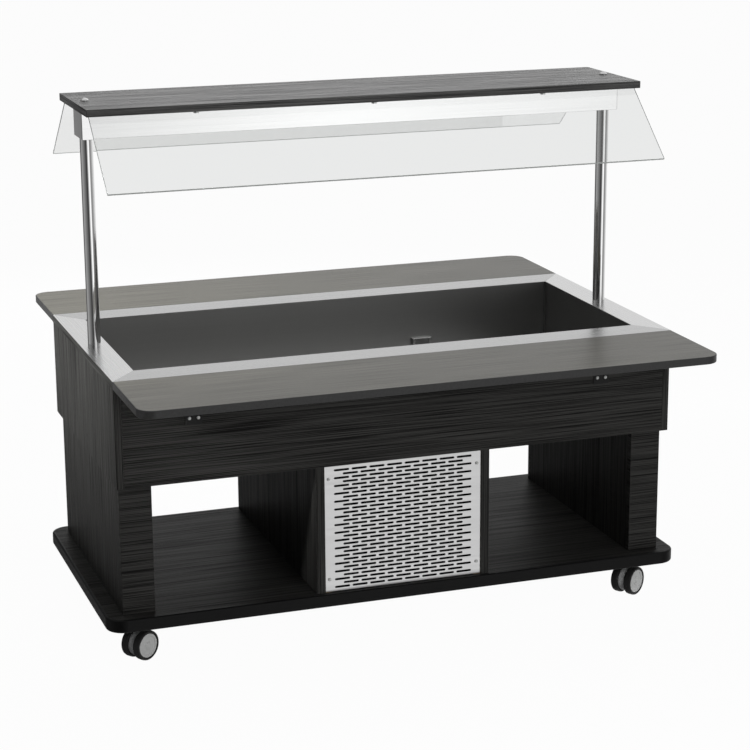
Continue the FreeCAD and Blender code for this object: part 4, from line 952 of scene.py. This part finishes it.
rocker_half = (0.0093, 0.012)
rocker_ease = 0.0004
rocker_keel = -0.002
rocker_crown = 0.0055
rocker_valley = 0.0035
rocker_tilt = math.radians(-9)
mark_proud = 0.00005
ring_radius = 0.0022
ring_line = 0.0005
ring_steps = 32
bar_half = 0.0022
for switch in ("main_switch", "lamp_switch"):
    axle = Vector((middle(switch).x, plate_face, knob_spot.z))
    seat = Matrix.Translation(axle) @ Matrix.Rotation(rocker_tilt, 4, "X")
    across, half_length = rocker_half
    key = bmesh.new()
    outline = [(rocker_keel, -half_length), (rocker_crown, -half_length), (rocker_valley, 0),
               (rocker_crown, half_length), (rocker_keel, half_length)]
    add_prism(key, [(-across, out, up) for out, up in outline], (2 * across, 0, 0), rocker_ease)
    bmesh.ops.transform(key, matrix=seat, verts=key.verts)
    make_piece(switch + "_rocker", key, black_plastic, switch, "switch_black", switch)
    marks = bmesh.new()
    slope = math.atan2(rocker_crown - rocker_valley, half_length)
    rise = (rocker_crown + rocker_valley) / 2
    upper = Matrix.Translation((0, rise, half_length / 2)) @ Matrix.Rotation(-math.pi / 2 - slope, 4, "X")
    lower = Matrix.Translation((0, rise, -half_length / 2)) @ Matrix.Rotation(-math.pi / 2 + slope, 4, "X")
    ring = [(ring_radius, 0), (ring_radius, mark_proud), (ring_radius - ring_line, mark_proud),
            (ring_radius - ring_line, 0)]
    add_turning(marks, ring, upper, ring_steps, ring=True)
    bar = [(-ring_line / 2, -bar_half), (ring_line / 2, -bar_half), (ring_line / 2, bar_half),
           (-ring_line / 2, bar_half)]
    bar_lift = lower.to_3x3() @ Vector((0, 0, mark_proud))
    add_prism(marks, [lower @ Vector((x, y, 0)) for x, y in bar], bar_lift)
    bmesh.ops.transform(marks, matrix=seat, verts=marks.verts)
    make_piece(switch + "_marks", marks, white_print, switch, "switch_black")


# Screws: zinc-plated pan heads with a cross recess, in grilles, control plate, brackets and caster plates.
# They stand where the plain screws of the model stand.
head_radius = 0.0042
head_height = 0.0022
shank_radius = 0.0019
shank_length = 0.004
head_steps = 24
recess_long = 0.0027
recess_slim = 0.00045
recess_deep = 0.0013
recess_ease = 0.0001


def solids_of(name):
    """The points of each separate solid of a plain node."""
    whole = bmesh.new()
    whole.from_mesh(nodes[name].data)
    bmesh.ops.remove_doubles(whole, verts=whole.verts, dist=weld_gap)
    counted = set()
    solids = []
    for first in whole.verts:
        if first in counted:
            continue
        counted.add(first)
        group = [first]
        for vertex in group:
            near = [edge.other_vert(vertex) for edge in vertex.link_edges]
            fresh = [other for other in near if other not in counted]
            counted.update(fresh)
            group.extend(fresh)
        solids.append([vertex.co.copy() for vertex in group])
    whole.free()
    return solids


blank = bmesh.new()
screw_outline = [(0, -shank_length), (shank_radius, -shank_length), (shank_radius, 0), (head_radius, 0),
                 (head_radius, 0.45 * head_height), (0.86 * head_radius, 0.8 * head_height),
                 (0.5 * head_radius, head_height), (0, head_height)]
add_turning(blank, screw_outline, upright_axis, head_steps)
for half_x, half_y in ((recess_long, recess_slim), (recess_slim, recess_long)):
    slot = bmesh.new()
    add_board(slot, (-half_x, -half_y, head_height - recess_deep),
              (half_x, half_y, head_height + recess_deep), recess_ease)
    blank = carve(blank, slot)
pattern_screw = bpy.data.meshes.new("pattern_screw")
blank.to_mesh(pattern_screw)
blank.free()
screws = bmesh.new()
for points in solids_of("panel_screws"):
    low = Vector(min(point[axis] for point in points) for axis in range(3))
    high = Vector(max(point[axis] for point in points) for axis in range(3))
    centre = (low + high) / 2
    axis = max(range(3), key=lambda index: high[index] - low[index])
    outward = Vector((0, 0, 0))
    for point in points:
        from_axis = point - centre
        along = from_axis[axis]
        from_axis[axis] = 0
        if from_axis.length > 0.9 * head_radius:
            outward[axis] = math.copysign(1, along)
    top = high if outward[axis] > 0 else low
    seat = centre.copy()
    seat[axis] = top[axis] - outward[axis] * head_height
    known = len(screws.verts)
    screws.from_mesh(pattern_screw)
    screws.verts.ensure_lookup_table()
    bmesh.ops.transform(screws, matrix=facing(outward, seat), verts=screws.verts[known:])
bpy.data.meshes.remove(pattern_screw)
make_piece("cross_screws", screws, zinc, "counter", "steel_zinc", "panel_screws")
